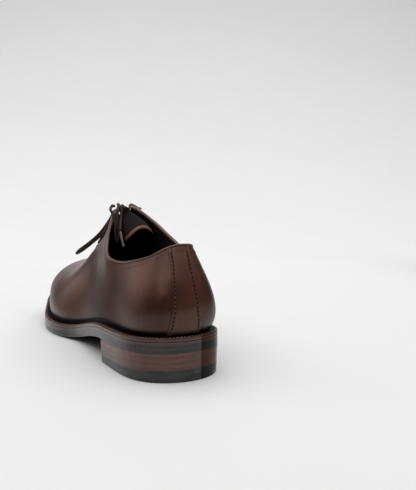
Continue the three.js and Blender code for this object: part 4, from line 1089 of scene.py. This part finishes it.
# Painted shade: the welt's top inside its rim goes near-black and matte, and the wheel marks are darkened part way
inner = n.ramp(split[1], 3.4, 4.4)
wire(n, shader, {
    "Base Color": n.mix(n.math("MAXIMUM", n.math("MULTIPLY", marks, 0.55), inner), edge["Color"], (0.006, 0.0035, 0.003, 1)),
    "Roughness": n.math("ADD", n.math("ADD", 0.2, n.math("MULTIPLY", edge["Streak"], 0.12)), n.math("MULTIPLY", inner, 0.4)),
    "Specular IOR Level": n.math("SUBTRACT", 0.45, n.math("MULTIPLY", n.math("MAXIMUM", inner, edge["Shaded_side"]), 0.38)),
    "Coat Weight": n.math("MULTIPLY", edge["Streak"], n.math("SUBTRACT", 0.3, n.math("MULTIPLY", inner, 0.3))),
    "Coat Roughness": 0.2,
    "Normal": n.add("ShaderNodeBump", {"Strength": 0.4, "Distance": 0.0003, "Height": height}).outputs[0],
})
welt = add_mesh(
    "welt", on_shoe(np.vstack(rims)), rims_to_faces(len(SOLE_PLACES), len(rims), True), [welt_leather],
    "sole_leather", coordinates, sharp=60)
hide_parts("welt")

welt_thread = thread_material("welt_thread", (0.34, 0.22, 0.16, 1), (0.15, 0.085, 0.06, 1))
groove = rim(WELT_WIDTH - 1.9, 0.9, lambda x: welt_foot(x) - CLOSE, lambda x: welt_foot(x) + WELT)
stitch_row("welt_stitches", on_shoe(groove), np.tile([0, 0, 1.0], (len(groove), 1)), 2.9, 1.9, 0.85, welt_thread,
           "sole_leather", -0.12)


# Midsole: a leather layer between the welt and the rubber, its edge dyed with the welt's
sole_leather, n, shader = new_material("sole_leather")
edge = use(n, "burnished_edge", {
    "Light": (0.075, 0.034, 0.025, 1), "Dark": (0.042, 0.02, 0.0155, 1), "Lines": 1.5, "Length": 0.02})
wire(n, shader, {
    "Base Color": edge["Color"],
    "Roughness": n.math("ADD", 0.2, n.math("MULTIPLY", edge["Streak"], 0.12)),
    "Specular IOR Level": n.math("SUBTRACT", 0.45, n.math("MULTIPLY", edge["Shaded_side"], 0.38)),
    "Coat Weight": n.math("MULTIPLY", edge["Streak"], 0.45),
    "Coat Roughness": 0.16,
    "Normal": n.add("ShaderNodeBump", {"Strength": 0.3, "Distance": 0.0002, "Height": edge["Height"]}).outputs[0],
})
EDGE_PROFILE = [(0.05, 0, -CLOSE), (0.01, 0.02, 0), (0, 0.1, 0), (0, 0.9, 0), (0.01, 0.98, 0), (0.05, 1, CLOSE)]
sole_plate(
    "midsole", midsole_foot, lambda x: midsole_foot(x) + MIDSOLE, WELT_WIDTH, EDGE_PROFILE, [sole_leather],
    "sole_leather")


# Outsole: moulded rubber from heel to toe, black underneath, its trimmed edge waxed to a grey gloss
sole_rubber, n, shader = new_material("sole_rubber")
edge = use(n, "burnished_edge", {
    "Light": (0.026, 0.0255, 0.0255, 1), "Dark": (0.015, 0.015, 0.0155, 1), "Lines": 1.8, "Length": 0.015})
wire(n, shader, {
    "Base Color": edge["Color"],
    "Roughness": n.math("ADD", 0.2, n.math("MULTIPLY", edge["Streak"], 0.1)),
    "Specular IOR Level": n.math("SUBTRACT", 0.33, n.math("MULTIPLY", edge["Shaded_side"], 0.28)),
    "Coat Weight": n.math("MULTIPLY", edge["Streak"], 0.45),
    "Coat Roughness": 0.16,
    "Normal": n.add("ShaderNodeBump", {"Strength": 0.28, "Distance": 0.00025, "Height": edge["Height"]}).outputs[0],
})
sole_plate(
    "outsole", lambda x: tread_height(x), lambda x: tread_height(x) + OUTSOLE, WELT_WIDTH,
    [(1.1, 0, 0), (0.45, 0.04, 0), (0.1, 0.13, 0), (0, 0.24, 0), (0, 0.55, 0), (0, 0.97, 0), (0.04, 1, CLOSE)],
    [sole_rubber], "rubber", True)


# Heel: three leather lifts over a rubber top piece, nailed and cemented, trimmed together and polished
LIFT_COUNT, TOP_PIECE_HEIGHT = 3, 9.4
LIFT_PITCH = (HEEL_HEIGHT - TOP_PIECE_HEIGHT) / LIFT_COUNT


def heel_top(x):
    return HEEL_HEIGHT - HEEL_DROP * x / HEEL_LENGTH


def breast_line(inset):
    """Outline of the heel from its breast round the back and over the breast again."""
    ends = []
    for side in (-1, 1):
        low, high = 0.5, float(TOE)
        for _ in range(40):
            middle = (low + high) / 2
            low, high = (middle, high) if feather_offset(side * middle, WELT_WIDTH - inset)[0] < HEEL_LENGTH \
                else (low, middle)
        ends.append(side * low)
    wall = feather_offset(np.linspace(ends[0], ends[1], 280), WELT_WIDTH - inset)
    y = np.linspace(wall[-1, 1], wall[0, 1], 60)[1:-1]
    x = np.minimum(HEEL_LENGTH, HEEL_LENGTH + BREAST_RADIUS - BREAST_HOLLOW - np.sqrt(BREAST_RADIUS**2 - y**2))
    return np.vstack([wall, np.column_stack([x, y]), wall[:1]])


def heel_piece(name, low, high, profile, material, slot):
    rims = []
    for inset, share, rise in profile:
        flat = breast_line(inset + HEEL_TAPER * (1 - (low(0) + (high(0) - low(0)) * share) / HEEL_HEIGHT))
        x = flat[:, 0]
        rims.append(np.column_stack([flat, low(x) + (high(x) - low(x)) * share + rise]))
    count = len(rims[0])
    faces = rims_to_faces(count, len(rims))
    faces += [tuple(range(count - 1)), tuple(range((len(rims) - 1) * count, len(rims) * count - 1))]
    piece = add_mesh(name, on_shoe(np.vstack(rims)), faces, [material], slot, edge_run(rims), sharp=40)
    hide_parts(name)


stack_leather, n, shader = new_material("stack_leather")
edge = use(n, "burnished_edge", {
    "Light": (0.125, 0.04, 0.024, 1), "Dark": (0.062, 0.0215, 0.0145, 1), "Lines": 1.0, "Length": 0.012})
wire(n, shader, {
    "Base Color": edge["Color"],
    "Roughness": n.math("ADD", 0.18, n.math("MULTIPLY", edge["Streak"], 0.12)),
    "Specular IOR Level": n.math("SUBTRACT", 0.45, n.math("MULTIPLY", edge["Shaded_side"], 0.38)),
    "Coat Weight": n.math("MULTIPLY", edge["Streak"], 0.45),
    "Coat Roughness": 0.14,
    "Normal": n.add("ShaderNodeBump", {"Strength": 0.22, "Distance": 0.0002, "Height": edge["Height"]}).outputs[0],
})
heel_rubber, n, shader = new_material("heel_rubber")
edge = use(n, "burnished_edge", {
    "Light": (0.017, 0.0165, 0.0165, 1), "Dark": (0.01, 0.01, 0.0105, 1), "Lines": 0.4, "Length": 0.08})
wire(n, shader, {
    "Base Color": edge["Color"],
    "Roughness": n.math("ADD", 0.26, n.math("MULTIPLY", edge["Streak"], 0.14)),
    "Specular IOR Level": n.math("SUBTRACT", 0.45, n.math("MULTIPLY", edge["Shaded_side"], 0.38)),
    "Coat Weight": n.math("MULTIPLY", edge["Streak"], 0.45),
    "Coat Roughness": 0.2,
    "Normal": n.add("ShaderNodeBump", {"Strength": 0.25, "Distance": 0.0002, "Height": edge["Height"]}).outputs[0],
})
for k in range(1, LIFT_COUNT + 1):
    lift_top = lambda x, k=k: heel_top(x) - (LIFT_COUNT - k) * LIFT_PITCH - JOIN_GAP
    lift_foot = lambda x, k=k: heel_top(x) - (LIFT_COUNT - k + 1) * LIFT_PITCH
    heel_piece(f"heel_lift_{k}", lift_foot, lift_top, EDGE_PROFILE, stack_leather, "stack")
heel_piece(
    "top_piece", lambda x: 0 * x, lambda x: heel_top(x) - LIFT_COUNT * LIFT_PITCH - JOIN_GAP,
    [(0.55, 0, 0), (0.18, 0.03, 0), (0, 0.1, 0), (0, 0.5, 0), (0, 0.95, 0), (0.1, 1, CLOSE)], heel_rubber, "rubber")


# Room: a sheet of pale paper that sweeps up behind the shoe, on a dark studio floor, under one very broad
# soft light. A weaker one stands in front on the left, one lights the sweep, and a dark card is on the right.
def stage_sheet(name, rows, material):
    """A smooth sheet between two equal lines of points, turned to face the camera."""
    sheet = bpy.data.meshes.new(name)
    count = len(rows[0])
    sheet.from_pydata([*rows[0], *rows[1]], [], [(k, k + 1, count + k + 1, count + k) for k in range(count - 1)])
    sheet.polygons.foreach_set("use_smooth", [True] * len(sheet.polygons))
    sheet.materials.append(material)
    holder = bpy.data.objects.new(name, sheet)
    bpy.context.collection.objects.link(holder)
    holder.rotation_euler[2] = CAMERA_YAW
    return holder


def stage_material(name, light, dark):
    material, n, shader = new_material(name)
    tone = use(n, "clouds", {"Light": light, "Dark": dark, "Size": 3.0})
    wire(n, shader, {"Base Color": tone["Color"], "Roughness": 0.75, "Specular IOR Level": 0.2})
    return material


PAPER_LEFT, PAPER_RIGHT, PAPER_NEAR, PAPER_FAR, SWEEP = 0.42, -0.56, -0.36, 0.55, 0.5
profile = [(PAPER_NEAR, 0), (PAPER_FAR, 0)]
profile += [(PAPER_FAR + SWEEP * math.sin(a), SWEEP - SWEEP * math.cos(a)) for a in np.radians(np.arange(4, 91, 4))]
profile += [(PAPER_FAR + SWEEP, 1.2)]
paper = stage_material("pale_paper", (0.865, 0.86, 0.86, 1), (0.85, 0.845, 0.845, 1))
stage_sheet("floor", [[(x, side, z) for x, z in profile] for side in (PAPER_LEFT, PAPER_RIGHT)], paper)
studio = stage_material("studio_floor", (0.035, 0.034, 0.034, 1), (0.025, 0.025, 0.025, 1))
stage_sheet("studio_floor", [[(-4, side, -0.004), (4, side, -0.004)] for side in (4, -4)], studio)
card = stage_sheet("dark_card", [[(-0.3, 0, z), (0.36, 0, z)] for z in (0.0, 0.16)], studio)
card.location = (0, -0.56, 0)
card.rotation_euler[2] = 0


def add_light(name, place, target, size, power, colour=(1, 1, 1)):
    lamp = bpy.data.lights.new(name, "AREA")
    lamp.shape, lamp.size, lamp.size_y = "RECTANGLE", *size
    lamp.energy, lamp.color = power, colour
    holder = bpy.data.objects.new(name, lamp)
    bpy.context.collection.objects.link(holder)
    holder.location = place
    holder.rotation_euler = (Vector(target) - Vector(place)).to_track_quat("-Z", "Y").to_euler()


add_light("overhead", (0.1, 0, 1.5), (0.1, 0, 0), (3.4, 3.4), 53)
add_light("left_front", (0.9, 0.85, 0.5), (0.1, 0, 0.08), (1.1, 0.8), 1.9)
add_light("sweep_light", (0.55, -0.24, 1.15), (1.0, -0.44, 0.6), (1.2, 0.25), 1.3)
world = bpy.data.worlds.new("room")
world.use_nodes = True
n = Nodes(world.node_tree)
sky = n.tree.nodes["Background"]
sky.inputs["Color"].default_value = (0.95, 0.96, 1.0, 1)
sky.inputs["Strength"].default_value = 0.08
bpy.context.scene.world = world
bpy.context.scene.view_settings.view_transform = "Standard"
bpy.context.scene.view_settings.look = "None"
